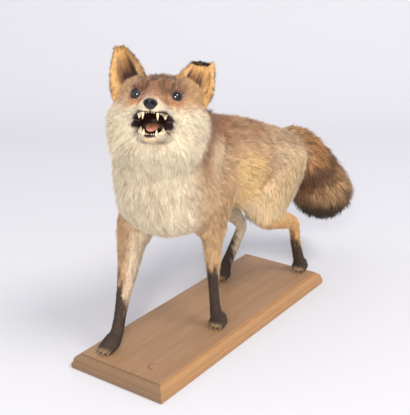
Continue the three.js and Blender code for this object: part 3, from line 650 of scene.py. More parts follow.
def refine(points, triangles, chosen):
    """Halves every edge of the chosen triangles, and splits their neighbours to match."""
    edges = np.sort(triangles[:, [[0, 1], [1, 2], [2, 0]]].reshape(-1, 2), axis=1)
    key = edges[:, 0] * len(points) + edges[:, 1]
    names, which = np.unique(key, return_inverse=True)
    marked = np.zeros(len(names), bool)
    marked[which.reshape(-1, 3)[chosen].ravel()] = True
    halves = np.full(len(names), -1)
    halves[marked] = len(points) + np.arange(marked.sum())
    ends = columns(names[marked] // len(points), names[marked] % len(points))
    points = np.concatenate([points, points[ends].mean(axis=1)])
    middle = halves[which].reshape(-1, 3)
    made = middle >= 0
    out = [triangles[~made.any(axis=1)]]
    full = made.all(axis=1)
    (a, b, c), (ab, bc, ca) = triangles[full].T, middle[full].T
    out += [columns(a, ab, ca), columns(ab, b, bc), columns(ca, bc, c), columns(ab, bc, ca)]
    for turn in range(3):
        order = [(turn + k) % 3 for k in range(3)]
        t, m, have = triangles[:, order], middle[:, order], made[:, order]
        one = have[:, 0] & ~have[:, 1] & ~have[:, 2]
        (a, b, c), ab = t[one].T, m[one, 0]
        out += [columns(a, ab, c), columns(ab, b, c)]
        two = have[:, 0] & have[:, 1] & ~have[:, 2]
        (a, b, c), ab, bc = t[two].T, m[two, 0], m[two, 1]
        out += [columns(a, ab, c), columns(ab, bc, c), columns(ab, b, bc)]
    return points, np.concatenate(out)


def face_ways(points, triangles):
    """The way out of each triangle, as long as twice its area."""
    a, b, c = (points[triangles[:, k]] for k in range(3))
    return np.cross(b - a, c - a)


def point_normals(points, triangles):
    face = face_ways(points, triangles)
    total = np.zeros_like(points)
    for k in range(3):
        np.add.at(total, triangles[:, k], face)
    return unit(total)


# -------- ears

EARS = {
    "right": {
        "hand": -1, "root": [[-34, 26, 34], [-47, 69, 4]], "top": [[-62, 66, 89], [-62, 79, 87]],
        "sink": 20.0, "bulge": [6.0, 10.0], "cup": 17.0, "thick": 4.0, "torn": 0.5, "round": 5.0,
    },
    "left": {
        "hand": 1, "root": [[-34, 29, 37], [-46, 73, 8]], "top": [[-52, 48, 67], [-53, 81, 67]],
        "sink": 20.0, "bulge": [1.0, 10.0], "cup": 13.0, "thick": 4.0, "torn": 1.3, "round": 2.5,
    },
}
EAR_COLUMNS = 33
EAR_ROWS = 42
# The flap runs across the ear from start to end, just under its crest.
FLAP = {
    "rings": 26, "sides": 10, "radius": 2.6, "forward": 1.5, "start": -0.95, "end": 0.62,
    "middle": -0.165, "half": 0.80, "height": 0.985,
}


def ear_frame(ear, across):
    """The foot and the crest under each place across the ear, and its up, wide and face axes."""
    root, top = np.array(ear["root"], float), np.array(ear["top"], float)
    t = ((across + 1.0) / 2.0)[:, None]
    foot, crest = mix(root[0], root[1], t), mix(top[0], top[1], t)
    up = unit(crest - foot)
    wide = np.broadcast_to(unit(root[1] - root[0]), up.shape)
    return foot, crest, up, wide, unit(np.cross(wide, up))


def ear_points(ear, across, v, layer):
    """Head places of an ear: across from -1 to 1, v from 0 at the foot to 1 at the crest."""
    foot, crest, up, wide, face = ear_frame(ear, across)
    rim = 1.0 - across * across
    reach = norm(crest - foot)
    seed = columns(across * 9.0, v * 14.0, np.full(len(v), ear["hand"] * 5.0))
    ragged = (noise(seed, 1.0, 2.0) - 0.5) * ear["torn"] * 3.0 - ear["round"] * across ** 2
    height = mix(-ear["sink"], reach + ragged * step(0.55, 1.0, v), v)
    swell = np.where(across < 0, ear["bulge"][0], ear["bulge"][1]) * np.sin(math.pi * v) * across
    nick = (noise(seed, 1.6, 5.0) - 0.5) * ear["torn"] * 1.6 * across ** 4
    back = ear["cup"] * rim * (1.0 - 0.6 * v)
    thick = (ear["thick"] - 1.2) * (1.0 - 0.5 * v) * (0.35 + 0.65 * rim) * 0.5 * layer
    q = foot + up * height[:, None] + wide * (swell + nick)[:, None] + face * (thick - back)[:, None]
    return q * np.array([1.0, ear["hand"], 1.0])


def ring_faces(rows, ring):
    """Triangles between rows of closed rings, with the first and last ring filled flat."""
    i, j = np.meshgrid(np.arange(rows - 1), np.arange(ring), indexing="ij")
    a, b = (i * ring + j).ravel(), (i * ring + (j + 1) % ring).ravel()
    sides = np.concatenate([columns(a, b, b + ring), columns(a, b + ring, a + ring)])
    half = ring // 2
    k = np.arange(half - 1)
    ends = []
    for base, order in ((0, 1), ((rows - 1) * ring, -1)):
        near, after = base + k, base + k + 1
        far, far_after = base + ring - 1 - k, base + ring - 2 - k
        for t in (columns(near, far, after), columns(after, far, far_after)):
            ends.append(t[:, ::order])
    return np.concatenate([sides, *ends])


def signed_volume(points, triangles):
    a, b, c = (points[triangles[:, k]] for k in range(3))
    return np.einsum("ij,ij->i", a, np.cross(b, c)).sum() / 6.0


def outward(points, triangles):
    """The triangles, turned so that the closed shell they make faces outwards."""
    return triangles if signed_volume(points, triangles) > 0 else triangles[:, ::-1]


def ear_mesh(ear, tones):
    """Points, triangles and coat values of one ear."""
    front = np.sin(np.linspace(-1, 1, EAR_COLUMNS) * math.pi / 2)
    ring = np.concatenate([front, front[::-1]])
    layer = np.concatenate([np.ones(EAR_COLUMNS), -np.ones(EAR_COLUMNS)])
    v = np.repeat(np.linspace(0, 1, EAR_ROWS), len(ring))
    across, layers = np.tile(ring, EAR_ROWS), np.tile(layer, EAR_ROWS)
    head = ear_points(ear, across, v, layers)
    points = from_head(head)
    triangles = outward(points, ring_faces(EAR_ROWS, len(ring)))
    return points, triangles, ear_values(ear, across, v, layers, points, tones)


def ear_values(ear, across, v, layer, points, tones):
    """Colours and coat of an ear: painted shade darkening the cup inside, golden margins, black behind.
    """
    n = len(v)
    margin = np.abs(across)
    inside = step(-0.2, 0.6, layer)
    blot = noise(points, 6.0, 3.0)
    fine = noise(points, 2.4, 4.0)
    run = columns(across * 9.0, v * 2.2, np.full(n, ear["hand"] * 3.0))
    strand = noise(run, 1.0, 4.0)
    reach = np.abs(across + 0.05) + (blot - 0.5) * 0.3 + (strand - 0.5) * 0.6
    hollow = step(0.78, 0.3, reach) * step(0.82, 0.4, v + (strand - 0.5) * 0.4) * step(0.02, 0.14, v)
    coat = Paint(tones, "gold", n, (0.82, 0.75, 0.62))
    warm = step(1.0, 0.5, reach) * step(0.95, 0.6, v + (blot - 0.5) * 0.3)
    coat.lay("brown", warm * inside * 0.7)
    coat.lay("pale", step(0.5, 0.75, strand) * step(0.3, 0.7, margin) * 0.45)
    coat.lay("rust", step(0.5, 0.75, blot) * 0.45)
    # Painted shade: the ear's cup darkens to the hollow colour, most low in its middle.
    coat.lay("hollow", hollow * inside)
    edge = step(0.9, 0.98, margin) + step(0.94, 0.98, v)
    coat.lay("umber", np.clip(edge, 0.0, 1.0) * step(0.35, 0.65, fine) * 0.8)
    behind = (1.0 - inside) * step(0.38, 0.62, v + (blot - 0.5) * 0.2)
    coat.lay("black", behind)
    tip = step(0.965, 1.0, v)
    coat.lay("rust", tip * 0.6)
    up = from_head(np.tile(np.array([0.05, 0.0, 1.0]), (n, 1))) - HEAD_AT
    toward = inside * step(0.0, 0.4, margin) * step(0.9, 0.2, v)
    in_way = np.zeros((n, 3))
    in_way[:, 1] = -np.sign(across) * ear["hand"] * 0.5
    lie = unit(up + (in_way @ HEAD_AXES) * toward[:, None])
    length = 3.6 + 2.4 * step(0.6, 1.0, margin) + 5.5 * inside * step(0.5, 0.2, v)
    return {
        "tone": coat.colours,
        "lie": lie,
        "length": length,
        "lift": np.full(n, 24.0),
        "dense": np.where(v < 0.12, 0.0, 1.0) * (0.5 + 0.5 * step(0.2, 0.7, margin + 1 - inside)),
        "bare": np.zeros(n),
        "fleck": np.full(n, 0.25),
    }


def flap_mesh(ear, tones):
    """The torn crest of the left ear, rolled forward so that its black back shows."""
    rings, sides = FLAP["rings"], FLAP["sides"]
    across = np.repeat(np.linspace(FLAP["start"], FLAP["end"], rings), sides)
    angle = np.tile(np.arange(sides) / sides * 2 * math.pi, rings)
    crest = ear_points(ear, across, np.full(len(across), FLAP["height"]), np.zeros(len(across)))
    seed = columns(across * 6.0, np.cos(angle), np.sin(angle))
    ends = np.sqrt(np.clip(1.0 - ((across - FLAP["middle"]) / FLAP["half"]) ** 2, 0.02, 1.0))
    radius = FLAP["radius"] * ends * (0.7 + 0.7 * noise(seed, 1.0, 9.0))
    ahead = radius * 0.75 * np.cos(angle) + FLAP["forward"]
    above = radius * 1.15 * np.sin(angle) + (noise(seed, 1.7, 11.0) - 0.5) * 2.0
    head = crest + columns(ahead, np.zeros(len(across)), above)
    points = from_head(head)
    triangles = outward(points, ring_faces(rings, sides))
    n = len(points)
    coat = Paint(tones, "black", n)
    coat.lay("rust", step(0.62, 0.85, noise(points, 3.5, 12.0)) * 0.5)
    return points, triangles, {
        "tone": coat.colours,
        "lie": np.tile(unit(np.array([0.2, -0.6, 0.5])), (n, 1)),
        "length": np.full(n, 3.2),
        "lift": np.full(n, 26.0),
        "dense": np.full(n, 1.6),
        "bare": np.zeros(n),
        "fleck": np.full(n, 0.1),
    }


# -------- markings and coat of the body

# Oval patches of the body and of the head: the middle, and how far they reach along each axis.
BODY_PATCHES = {
    "crook": ((84.0, -100.0, 384.0), (40.0, 38.0, 46.0)),
    "brisket": ((-8.0, -208.0, 348.0), (7.0, 30.0, 6.0)),
    "hackles": ((8.0, -76.0, 412.0), (46.0, 46.0, 34.0)),
}
HEAD_PATCHES = {
    "under_eye": ((4.0, 29.0, -12.0), (18.0, 14.0, 8.0)),
    "inner_eye": ((9.0, 17.0, 1.0), (14.0, 9.0, 9.0)),
}
EAR_FOOT_TONE = np.array([-34.0, 50.0, 16.0])
EAR_FOOT_HAIR = np.array([-34.0, 46.0, 22.0])
HACKLES = {"longer": 15.0, "raised": 30.0}


def from_patch(p, patch):
    """How far each point is from the middle of a patch, with 1 at the patch's edge."""
    middle, reach = (np.array(v) for v in patch)
    return norm((p - middle) / reach)


# Parts share the skin over about soft mm. The head owns a little more of it, a limb a little less.
SHARE = {"soft": 6.0, "head": -4.0, "limb": 1.0, "most": 200}


def weights(p):
    """How far each part of the body owns each point, from 0 to 1."""
    d = {"trunk": TRUNK(p), "neck": NECK(p), "head": head_field(p) + SHARE["head"], "tail": TAIL(p)}
    for name, limb in LIMBS.items():
        d[name] = limb["chain"](p) + SHARE["limb"]
    least = np.minimum.reduce(list(d.values()))
    share = {
        name: np.exp(-np.clip(v - least, 0, SHARE["most"]) / SHARE["soft"]) for name, v in d.items()
    }
    total = sum(share.values())
    return {name: v / total for name, v in share.items()}


def trunk_height(p):
    """0 at the height of the trunk's middle, 1 at its back and -1 at its belly."""
    y = TRUNK.run[:, 1]
    return (p[:, 2] - np.interp(p[:, 1], y, TRUNK.run[:, 2])) / np.interp(p[:, 1], y, TRUNK.run[:, 4])


def groin_share(p):
    """1 on the long pale hair between the belly and the thighs."""
    high = step(262, 214, p[:, 2]) * step(150, 180, p[:, 2])
    return high * step(30, 80, p[:, 1]) * step(165, 110, p[:, 1]) * step(80, 58, np.abs(p[:, 0]))


def body_tone(p, normal, tones):
    """Colours of the trunk, neck and upper limbs."""
    y = p[:, 1] + (noise(p, 26.0, 1.0) - 0.5) * 22.0
    high = trunk_height(p) + (noise(p, 18.0, 2.0) - 0.5) * 0.28
    coat = Paint(tones, "tan", len(p))
    flank = step(-45, -12, y) * step(125, 60, y) * step(0.5, 0.0, high)
    coat.lay("gold", flank * 0.9)
    rump = step(95, 165, y)
    coat.lay("pale", rump * 0.75)
    saddle = step(0.4, 0.92, high)
    coat.lay("brown", saddle * mix(0.8, 0.4, step(-60, 120, y)))
    streak = step(0.5, 0.72, streaks(p, (1.0, 0.3, 1.0), 5.0, 14.0))
    coat.lay("umber", streak * (0.12 + 0.42 * saddle) * step(-120, -70, y))
    coat.lay("rust", step(0.45, 0.75, noise(p, 30.0, 5.0)) * saddle * 0.35)
    belly = step(-0.72, -0.98, high) * step(-60, 40, y)
    coat.lay("cream", belly * 0.55)
    coat.lay("cream", groin_share(p) * 0.75)
    shoulder = step(-45, -120, y) * step(0.6, 0.2, high)
    coat.lay("pale", shoulder * mix(0.75, 0.25, step(40, 76, p[:, 0])))
    left = 44.0 * step(54, 92, p[:, 0])
    breast = step(-96, -158, y + np.clip(p[:, 2] - 380, 0, 90) * 0.12 + left)
    coat.lay("cream", breast)
    crook = step(1.2, 0.5, from_patch(p, BODY_PATCHES["crook"]))
    coat.lay("pale", crook * 0.85)
    nape = step(0.1, 0.6, 0.8 * normal[:, 1] + 0.6 * normal[:, 2]) * step(384, 420, p[:, 2])
    coat.lay("brown", nape * 0.8)
    grey = step(0.52, 0.8, streaks(p, (1.0, 1.0, 0.35), 8.0, 6.0)) * breast * (1.0 - nape)
    coat.lay("grey", grey * 0.35)
    brisket = step(1.2, 0.5, from_patch(p, BODY_PATCHES["brisket"]))
    return coat.lay("grey", brisket * 0.8)


def tail_tone(p, tones):
    """Colours of the brush: tan at the root, a band of painted shade where it folds, grizzled, with a
    dark rim.
    """
    wander = (noise(p, 14.0, 7.0) - 0.5) * 22.0
    fall = 0.72 * p[:, 1] - 0.69 * p[:, 2] + wander
    streak = streaks(p, (1.0, 0.6, 0.45), 7.0, 8.5)
    coat = Paint(tones, "gold", len(p), (0.4, 0.33, 0.28))
    coat.lay("rust", step(0.35, 0.7, noise(p, 12.0, 8.0)) * 0.4)
    # Painted shade: an umber band across the brush where it bends down.
    fold_shade = step(44, 60, fall) * step(100, 82, fall)
    coat.lay("umber", fold_shade * (0.7 + 0.3 * streak))
    coat.lay("grizzle", step(80, 104, fall) * 0.85)
    coat.lay("umber", step(0.5, 0.7, streak) * step(70, 110, fall) * 0.5)
    rim = np.maximum(step(196, 166, p[:, 2] + wander * 0.8), step(378, 404, p[:, 1] + wander * 0.6))
    rim = np.maximum(rim, step(72, 96, p[:, 0] + wander * 0.4) * step(300, 240, p[:, 2]) * 0.8)
    return coat.lay("black", rim * 0.9)


LEG_TONES = {
    # tone above, height of the dark stocking's edge, how far it climbs on the outside and on the
    # front, how ragged it is, and how strong the dark strands above it are
    "fore_right": ("tan", 134.0, 34.0, 6.0, 60.0, 0.34),
    "fore_left": ("tan", 148.0, 4.0, 14.0, 60.0, 0.34),
    "hind_right": ("cream", 86.0, 14.0, 26.0, 34.0, 0.1),
    "hind_left": ("pale", 98.0, 6.0, 24.0, 40.0, 0.1),
}


def limb_tone(name, p, normal, tones):
    """Colours of a leg: pale above, a dark stocking below and tan toes."""
    above, edge, out, front, wander, dark = LEG_TONES[name]
    hand = -1.0 if name.endswith("right") else 1.0
    coat = Paint(tones, above, len(p))
    coat.lay("gold", step(0.0, 0.7, normal[:, 0] * hand) * 0.2)
    coat.lay("cream", step(0.1, 0.8, -normal[:, 0] * hand) * 0.7)
    if name == "hind_left":
        golden = np.array(tones["gold"]) * np.array([0.8, 0.7, 0.6])
        coat.lay(golden, step(215, 175, p[:, 2]))
    strand = step(0.48, 0.72, streaks(p, (1.0, 1.0, 0.2), 4.0, 15.0))
    coat.lay("umber", strand * dark)
    ragged = (streaks(p, (1.0, 1.0, 0.14), 3.6, 9.0) - 0.5) * wander
    line = edge + out * normal[:, 0] * hand - front * normal[:, 1] + ragged
    coat.lay("stocking", step(16.0, -14.0, p[:, 2] - line))
    limb = LIMBS[name]
    way = paw_layout(limb)[0]
    ahead = (p[:, :2] - np.array(limb["toes"], float)) @ way
    toe = step(-4.0, 5.0, ahead) * step(FLOOR + 15.0, FLOOR + 7.0, p[:, 2])
    return coat.lay("toe", toe * 0.85)


def head_tone(p, tones):
    """Colours of the head, and how bare it is, from its own forward, side and up places."""
    h = to_head(p)
    m = mirrored(h)
    f, s, u = m.T
    blot = noise(p, 9.0, 1.5)
    fine = noise(p, 4.0, 2.5)
    from_eye = norm(m - EYE_AT)
    coat = Paint(tones, "face", len(p))
    streak = step(0.46, 0.6, noise(np.column_stack([f * 0.22, h[:, 1], u * 0.3]), 2.6, 3.5))
    top = step(-5, 9, u + (blot - 0.5) * 8.0) * step(24, 8, f)
    middle = step(42, 22, s)
    coat.lay("brown", top * mix(0.45, 0.75, middle))
    coat.lay("black", top * streak * mix(0.2, 0.75, middle))
    by_ear = step(34, 14, norm(m - EAR_FOOT_TONE))
    golden_brown = mix(np.array(tones["gold"]), np.array(tones["brown"]), 0.4)
    coat.lay(golden_brown, by_ear * 0.6)
    under = step(1.3, 0.4, from_patch(m, HEAD_PATCHES["under_eye"]))
    coat.lay("rust", under * 0.6)
    inner = step(1.25, 0.5, from_patch(m, HEAD_PATCHES["inner_eye"]))
    coat.lay("umber", inner * 0.5)
    socket = step(15, 9, from_eye + (fine - 0.5) * 5.0)
    coat.lay("umber", socket * 0.45)
    cheek = step(-17, -26, u + (blot - 0.5) * 8.0)
    coat.lay("cream", cheek)
    side_face = step(36, 54, s) * step(-2, -22, u + (blot - 0.5) * 8.0)
    coat.lay("cream", side_face * 0.8)
    nape = step(-52, -76, f) * step(26, 50, h[:, 1])
    coat.lay("pale", nape * 0.85)
    bridge = step(8, 20, f) * step(-22, -12, u)
    coat.lay("rust", bridge * mix(0.35, 0.75, streak))
    groove = step(7, 4, np.abs(s - 10.0 - 0.28 * (20.0 - f))) * step(-2, 8, f) * step(34, 24, f)
    coat.lay("umber", groove * 0.4)
    ring = step(21, 14, norm(h - NOSE_AT + np.array([8.0, 0.0, -2.0])))
    coat.lay("cream", ring * mix(0.2, 0.85, step(4, 10, s)))
    parting = step(1.6, 0.7, s) * step(58, 61, f) * step(-28, -31, u)
    coat.lay("lip", parting * 0.85)
    chin = step(28, 40, f) * step(-66, -74, u)
    coat.lay("gold", chin * 0.45)
    mouth = mouth_field(h)
    lip = step(4.0, 2.6, mouth + (fine - 0.5) * 1.6 - 1.2 * step(34, 14, f)) * step(72, 66, f)
    coat.lay("lip", lip)
    inside = step(1.4, 0.2, mouth)
    # Painted shade: the mouth darkens towards the back, over the dark red of the gullet's flesh.
    deep = step(62, 42, f)
    coat.lay("gum", inside)
    coat.lay("throat", inside * deep * 0.9)
    coat.lay("lip", inside * step(15, 22, s) * 0.75)
    lid = step(2.3, 1.2, lid_fields(m)[1]) * step(EYE_RADIUS + 7.0, EYE_RADIUS + 5.0, from_eye)
    coat.lay("lip", lid)
    return coat.colours, np.maximum(np.maximum(inside, lip * 0.8), lid)


def head_coat(p):
    """Length, lift and lie of the head's coat."""
    h = to_head(p)
    m = mirrored(h)
    f, s, u = m.T
    length = 3.6 + 4.4 * step(12, -35, f)
    length = mix(length, 2.0, step(14, 36, f))
    side = step(24, 52, s) * step(6, -26, u) * step(10, -30, f)
    below = step(-46, -70, u) * step(44, 0, f)
    length = length + 12.0 * side + 12.0 * below * step(50, -10, f)
    length = length + 6.0 * step(-45, -80, f)
    by_ear = step(36, 14, norm(m - EAR_FOOT_HAIR))
    crown = step(-2, 8, u) * step(16, 2, f) * step(-46, -28, f)
    length = length + 5.0 * by_ear + 3.0 * crown
    lift = 15.0 + 9.0 * step(4, 16, length) + 4.0 * by_ear + 9.0 * crown
    way = columns(
        -np.ones(len(p)),
        np.sign(h[:, 1]) * (0.25 + 0.6 * side) * step(2, 12, s),
        0.22 - 0.75 * step(-6, -34, u) - 0.6 * below + 0.8 * by_ear,
    )
    return length, lift, unit(way @ HEAD_AXES)


def skin_values(p, normal, tones, lengths):
    """The colour, coat length, lift, lie, density, bareness and flecks at each skin point."""
    share = weights(p)
    body = share["trunk"] + share["neck"]
    tone = body_tone(p, normal, tones) * body[:, None]
    tone += tail_tone(p, tones) * share["tail"][:, None]
    head, bare = head_tone(p, tones)
    tone += head * share["head"][:, None]
    length = mix(lengths["body"], lengths["chest"], step(-120, -200, p[:, 1])) * share["trunk"]
    length += lengths["chest"] * share["neck"]
    length += mix(lengths["body"], lengths["tail"], step(262, 330, p[:, 1])) * share["tail"]
    length += 5.0 * groin_share(p) * share["trunk"]
    head_length, head_lift, head_lie = head_coat(p)
    length += head_length * share["head"]
    down = np.array([0.0, 0.0, -1.0])
    lie = TRUNK.flow(p) * share["trunk"][:, None] * 0.9 + NECK.flow(p) * share["neck"][:, None]
    lie += TAIL.flow(p) * share["tail"][:, None] + head_lie * share["head"][:, None]
    lie += down * (0.4 * share["trunk"] + 0.15 * share["neck"] + 0.25 * share["tail"])[:, None]
    lift = 23.0 * body + 21.0 * share["tail"] + head_lift * share["head"]
    z = p[:, 2]
    limb_length = np.interp(z, [FLOOR, 60, 130, 180, 260], [2.0, 3.0, 5.0, 9.0, lengths["body"]])
    for name, limb in LIMBS.items():
        part = share[name]
        tone += limb_tone(name, p, normal, tones) * part[:, None]
        length += limb_length * part * (1.0 + 0.5 * groin_share(p))
        lie += (limb["chain"].flow(p) + down * 0.3) * part[:, None]
        lift += (13.0 + 9.0 * step(150, 240, z)) * part
    tone = paint(tone, tones["brown"], step(0.62, 0.82, noise(p, 5.5, 21.0)) * body * 0.18)
    swirl = np.stack([noise(p, 22.0, seed) for seed in (31.0, 32.0, 33.0)], axis=1) - 0.5
    lie = unit(lie + swirl * 0.55 * (1.0 - share["head"])[:, None])
    hackle = step(1.2, 0.4, from_patch(p, BODY_PATCHES["hackles"]))
    length += HACKLES["longer"] * hackle
    lift += HACKLES["raised"] * hackle
    tone = paint(paint(tone, tones["umber"], hackle * 0.8), tones["black"], hackle * 0.35)
    speckled = 0.25 + 0.35 * step(-18.0, 0.0, to_head(p)[:, 2])
    fleck = 0.2 + 0.4 * share["trunk"] * step(40, 140, p[:, 1]) + 0.4 * share["tail"]
    sole = z < FLOOR + 1.2
    bare = np.maximum(bare * share["head"], sole)
    return {
        "tone": tone,
        "lie": lie,
        "length": length,
        "lift": lift,
        "dense": 1.0 - step(0.25, 0.6, bare),
        "bare": bare,
        "fleck": fleck + share["head"] * speckled,
    }


# -------- the skin

# The face and the paws are meshed finer, and the eyes and lips finer again.
FACE = {"middle": np.array([10.0, 0, -25]), "reach": 82, "back": -38}
PAW_HEIGHT = 34.0
EYE_REACHES = (12.5, 10.5)
LIP_ZONE = {"near": 4.0, "back": -10, "front": 80}


def skin_surface():
    """Points and triangles of the body's skin, finer on the head, paws, eyes and lips."""
    low, high = (np.array(v) / MM for v in CAD_BOX)
    low[2] = FLOOR - 2.0
    points, triangles = surface_net(skin_field, low - 4.0, high + 4.0, SKIN_CELL)
    points = settle(skin_field, points)
    middle = points[triangles].mean(axis=1)
    h = to_head(middle)
    face = (norm(h - FACE["middle"]) < FACE["reach"]) & (h[:, 0] > FACE["back"])
    paws = middle[:, 2] < FLOOR + PAW_HEIGHT
    points, triangles = refine(points, triangles, face | paws)
    points = settle(skin_field, points, 1)
    for turn, reach in enumerate(EYE_REACHES):
        middle = to_head(points[triangles].mean(axis=1))
        chosen = norm(mirrored(middle) - EYE_AT) < reach
        if turn == 0:
            along = (middle[:, 0] > LIP_ZONE["back"]) & (middle[:, 0] < LIP_ZONE["front"])
            chosen = chosen | (along & (np.abs(mouth_field(middle)) < LIP_ZONE["near"]))
        points, triangles = refine(points, triangles, chosen)
        points = settle(skin_field, points, 1, 1.5)
    return points, triangles


def whole_skin(tones, lengths):
    """The body, both ears and the torn flap as one set of points, triangles and values."""
    points, triangles = skin_surface()
    triangles = outward(points, triangles)
    normal = point_normals(points, triangles)
    shells = [(points, triangles, skin_values(points, normal, tones, lengths))]
    for ear in EARS.values():
        shells.append(ear_mesh(ear, tones))
    shells.append(flap_mesh(EARS["left"], tones))
    normals = [point_normals(p, t) for p, t, _ in shells]
    starts = np.cumsum([0] + [len(p) for p, _, _ in shells[:-1]])
    skin = {key: np.concatenate([v[key] for _, _, v in shells]) for key in shells[0][2]}
    skin["points"] = np.concatenate([p for p, _, _ in shells])
    skin["triangles"] = np.concatenate([t + start for (_, t, _), start in zip(shells, starts)])
    skin["normal"] = np.concatenate(normals)
    skin["shell"] = np.concatenate([np.full(len(p), i) for i, (p, _, _) in enumerate(shells)])
    return skin


# -------- tufts

# Against the coat's own: the shortest and longest tuft, the lift of its lower and upper half, and
# how near tips begin and cease to draw together. Then how deep a root is sunk, the width half way
# up, the share and shade of dark and of pale tufts, and a tuft's size in the unwrap.
TUFT = {
    "shortest": 0.72, "longest": 1.22, "lower": 1.25, "upper": 0.75, "apart": 0.95, "close": 0.4,
    "sunk": 0.7, "half_wide": 0.78, "dark_share": 0.45, "dark": 0.62, "pale_share": 0.12,
    "pale": 1.16, "unwrap": 0.0011,
}
# A row's corners, across and away from the skin, and the pairs of them that have a side.
TUFT_CORNERS = ((-1.0, 0.0), (1.0, 0.0), (0.0, 1.0))
CORNER_PAIRS = ((0, 1), (1, 2), (2, 0))


def corner_mix(skin, key, ids, weight):
    """A skin value at places inside triangles."""
    value = skin[key][skin["triangles"][ids]]
    if value.ndim == 2:
        return np.einsum("ij,ij->i", value, weight)
    return np.einsum("ijk,ij->ik", value, weight)


def root_places(skin, mask, count, rng):
    """count random places on the triangles where mask is above zero, as ids and weights."""
    area = norm(face_ways(skin["points"], skin["triangles"]))
    total = np.cumsum(area * mask)
    ids = np.searchsorted(total, rng.random(count) * total[-1])
    a, b = rng.random(count), rng.random(count)
    over = a + b > 1.0
    a, b = np.where(over, 1 - a, a), np.where(over, 1 - b, b)
    return np.minimum(ids, len(mask) - 1), columns(1 - a - b, a, b)


def nearest_leaders(roots, every):
    """For each root, the number of the closest of the roots that lead a lock of hair."""
    leaders = np.arange(0, len(roots), every)
    tree = KDTree(len(leaders))
    for k in leaders:
        tree.insert(roots[k], int(k))
    tree.balance()
    return np.array([tree.find(p)[1] for p in roots])


def repeat_faces(triangles, each, count):
    """The triangles of one tuft of each points, repeated for count tufts."""
    return (triangles[None] + (np.arange(count) * each)[:, None, None]).reshape(-1, 3)


def swung(lie, normal, lift):
    """The ways that the coat lies, raised from the skin by lift."""
    return lie * np.cos(lift)[:, None] + normal * np.sin(lift)[:, None]


def tuft_faces(rows):
    """The triangles of one tuft: rows of three corners, and a tip."""
    triangles = [(0, 2, 1)]
    last = 3 * rows - 3
    for low in range(0, last, 3):
        high = low + 3
        for a, b in CORNER_PAIRS:
            triangles += [(low + a, low + b, high + b), (low + a, high + b, high + a)]
    triangles += [(last + a, last + b, last + 3) for a, b in CORNER_PAIRS]
    return np.array(triangles)[:, ::-1]


def tuft_shades(style, fleck, leader, rng):
    """How light each tuft is, by itself and with its lock, and the dark and pale ones."""
    n = len(fleck)
    shade = rng.normal(1.0, style["vary"], n) * (1.0 + style["lock"] * (rng.random(n)[leader] - 0.5))
    dark = rng.random(n) < fleck * TUFT["dark_share"]
    pale = rng.random(n) < TUFT["pale_share"]
    shade = np.where(dark, shade * TUFT["dark"], np.where(pale, shade * TUFT["pale"], shade))
    return np.clip(shade, 0.35, 1.35)


def tuft_set(skin, mask, style, seed):
    """Solid tufts on part of the skin: points, triangles, colours and unwrap places."""
    rng = np.random.default_rng(seed)
    ids, weight = root_places(skin, mask, style["count"], rng)
    n = len(ids)
    root = corner_mix(skin, "points", ids, weight)
    normal = unit(corner_mix(skin, "normal", ids, weight))
    lie = corner_mix(skin, "lie", ids, weight)
    length = corner_mix(skin, "length", ids, weight) * style["scale"]
    length = length * rng.uniform(TUFT["shortest"], TUFT["longest"], n)
    lift = np.radians(corner_mix(skin, "lift", ids, weight) + rng.normal(0, style["unruly"], n))
    tone = corner_mix(skin, "tone", ids, weight)
    fleck = corner_mix(skin, "fleck", ids, weight)
    lie = lie + rng.normal(0, style["stray"], (n, 3))
    lie = unit(lie - normal * np.einsum("ij,ij->i", lie, normal)[:, None])
    side = unit(np.cross(lie, normal))
    half = root + swung(lie, normal, lift * TUFT["lower"]) * length[:, None] * 0.5
    tip = half + swung(lie, normal, lift * TUFT["upper"]) * length[:, None] * 0.5
    leader = nearest_leaders(root, style["every"])
    toward = tip[leader] - tip
    near = step(length * TUFT["apart"], length * TUFT["close"], norm(toward))
    tip = tip + toward * (style["clump"] * near)[:, None]
    half = half + toward * (style["clump"] * 0.35 * near)[:, None]
    wide = style["width"] * rng.uniform(0.7, 1.3, n) * np.clip(length / style["full"], 0.5, 1.2)
    rows = [(root - normal * TUFT["sunk"], wide)]
    if style["rows"] == 2:
        rows.append((half, wide * TUFT["half_wide"]))
    points = []
    for centre, w in rows:
        for a, b in TUFT_CORNERS:
            across = side * (a * w)[:, None] * 0.5
            points.append(centre + across + normal * (b * w)[:, None] * style["deep"])
    points.append(tip)
    points = np.stack(points, axis=1)
    triangles = tuft_faces(len(rows))
    each = points.shape[1]
    if signed_volume(points[:500].reshape(-1, 3), repeat_faces(triangles, each, 500)) <= 0:
        raise RuntimeError("the tufts are inside out")
    shade = tuft_shades(style, fleck, leader, rng)
    depth = np.repeat([style["root_shade"], 1.0], [3, each - 3])
    depth[-1] = style["tip"]
    colours = np.clip(tone[:, None] * (shade[:, None] * depth[None])[:, :, None], 0.0, 0.95)
    at = np.einsum("ijk,ij->ik", skin["unwrap"][ids], weight)
    spread = np.array([((k % 3) - 1.0, (k // 3)) for k in range(each)]) * TUFT["unwrap"]
    unwrap = at[:, None] + spread[None]
    turn_out = [side * a * 0.5 + normal * (0.8 + b * 0.4) for a, b in TUFT_CORNERS]
    turn_out = np.array(turn_out).transpose(1, 0, 2)
    shading = np.concatenate([turn_out] * len(rows) + [normal[:, None]], axis=1)
    return {
        "points": points.reshape(-1, 3),
        "triangles": repeat_faces(triangles, each, n),
        "colours": colours.reshape(-1, 3),
        "unwrap": unwrap.reshape(-1, 2),
        "normals": unit(shading.reshape(-1, 3)),
    }


# Where one piece of the coat gives way to the next, the longest hair of the face, and how much
# closer the tufts stand on the muzzle and the feet.
BORDERS = {"legs": 236, "tail": 262, "breast": -118, "neck": 470, "loin": 70, "hindlegs": 40}
FACE_HAIR = 8.5
CLOSER = {"muzzle": 1.6, "feet": 1.5, "feet_below": 75}


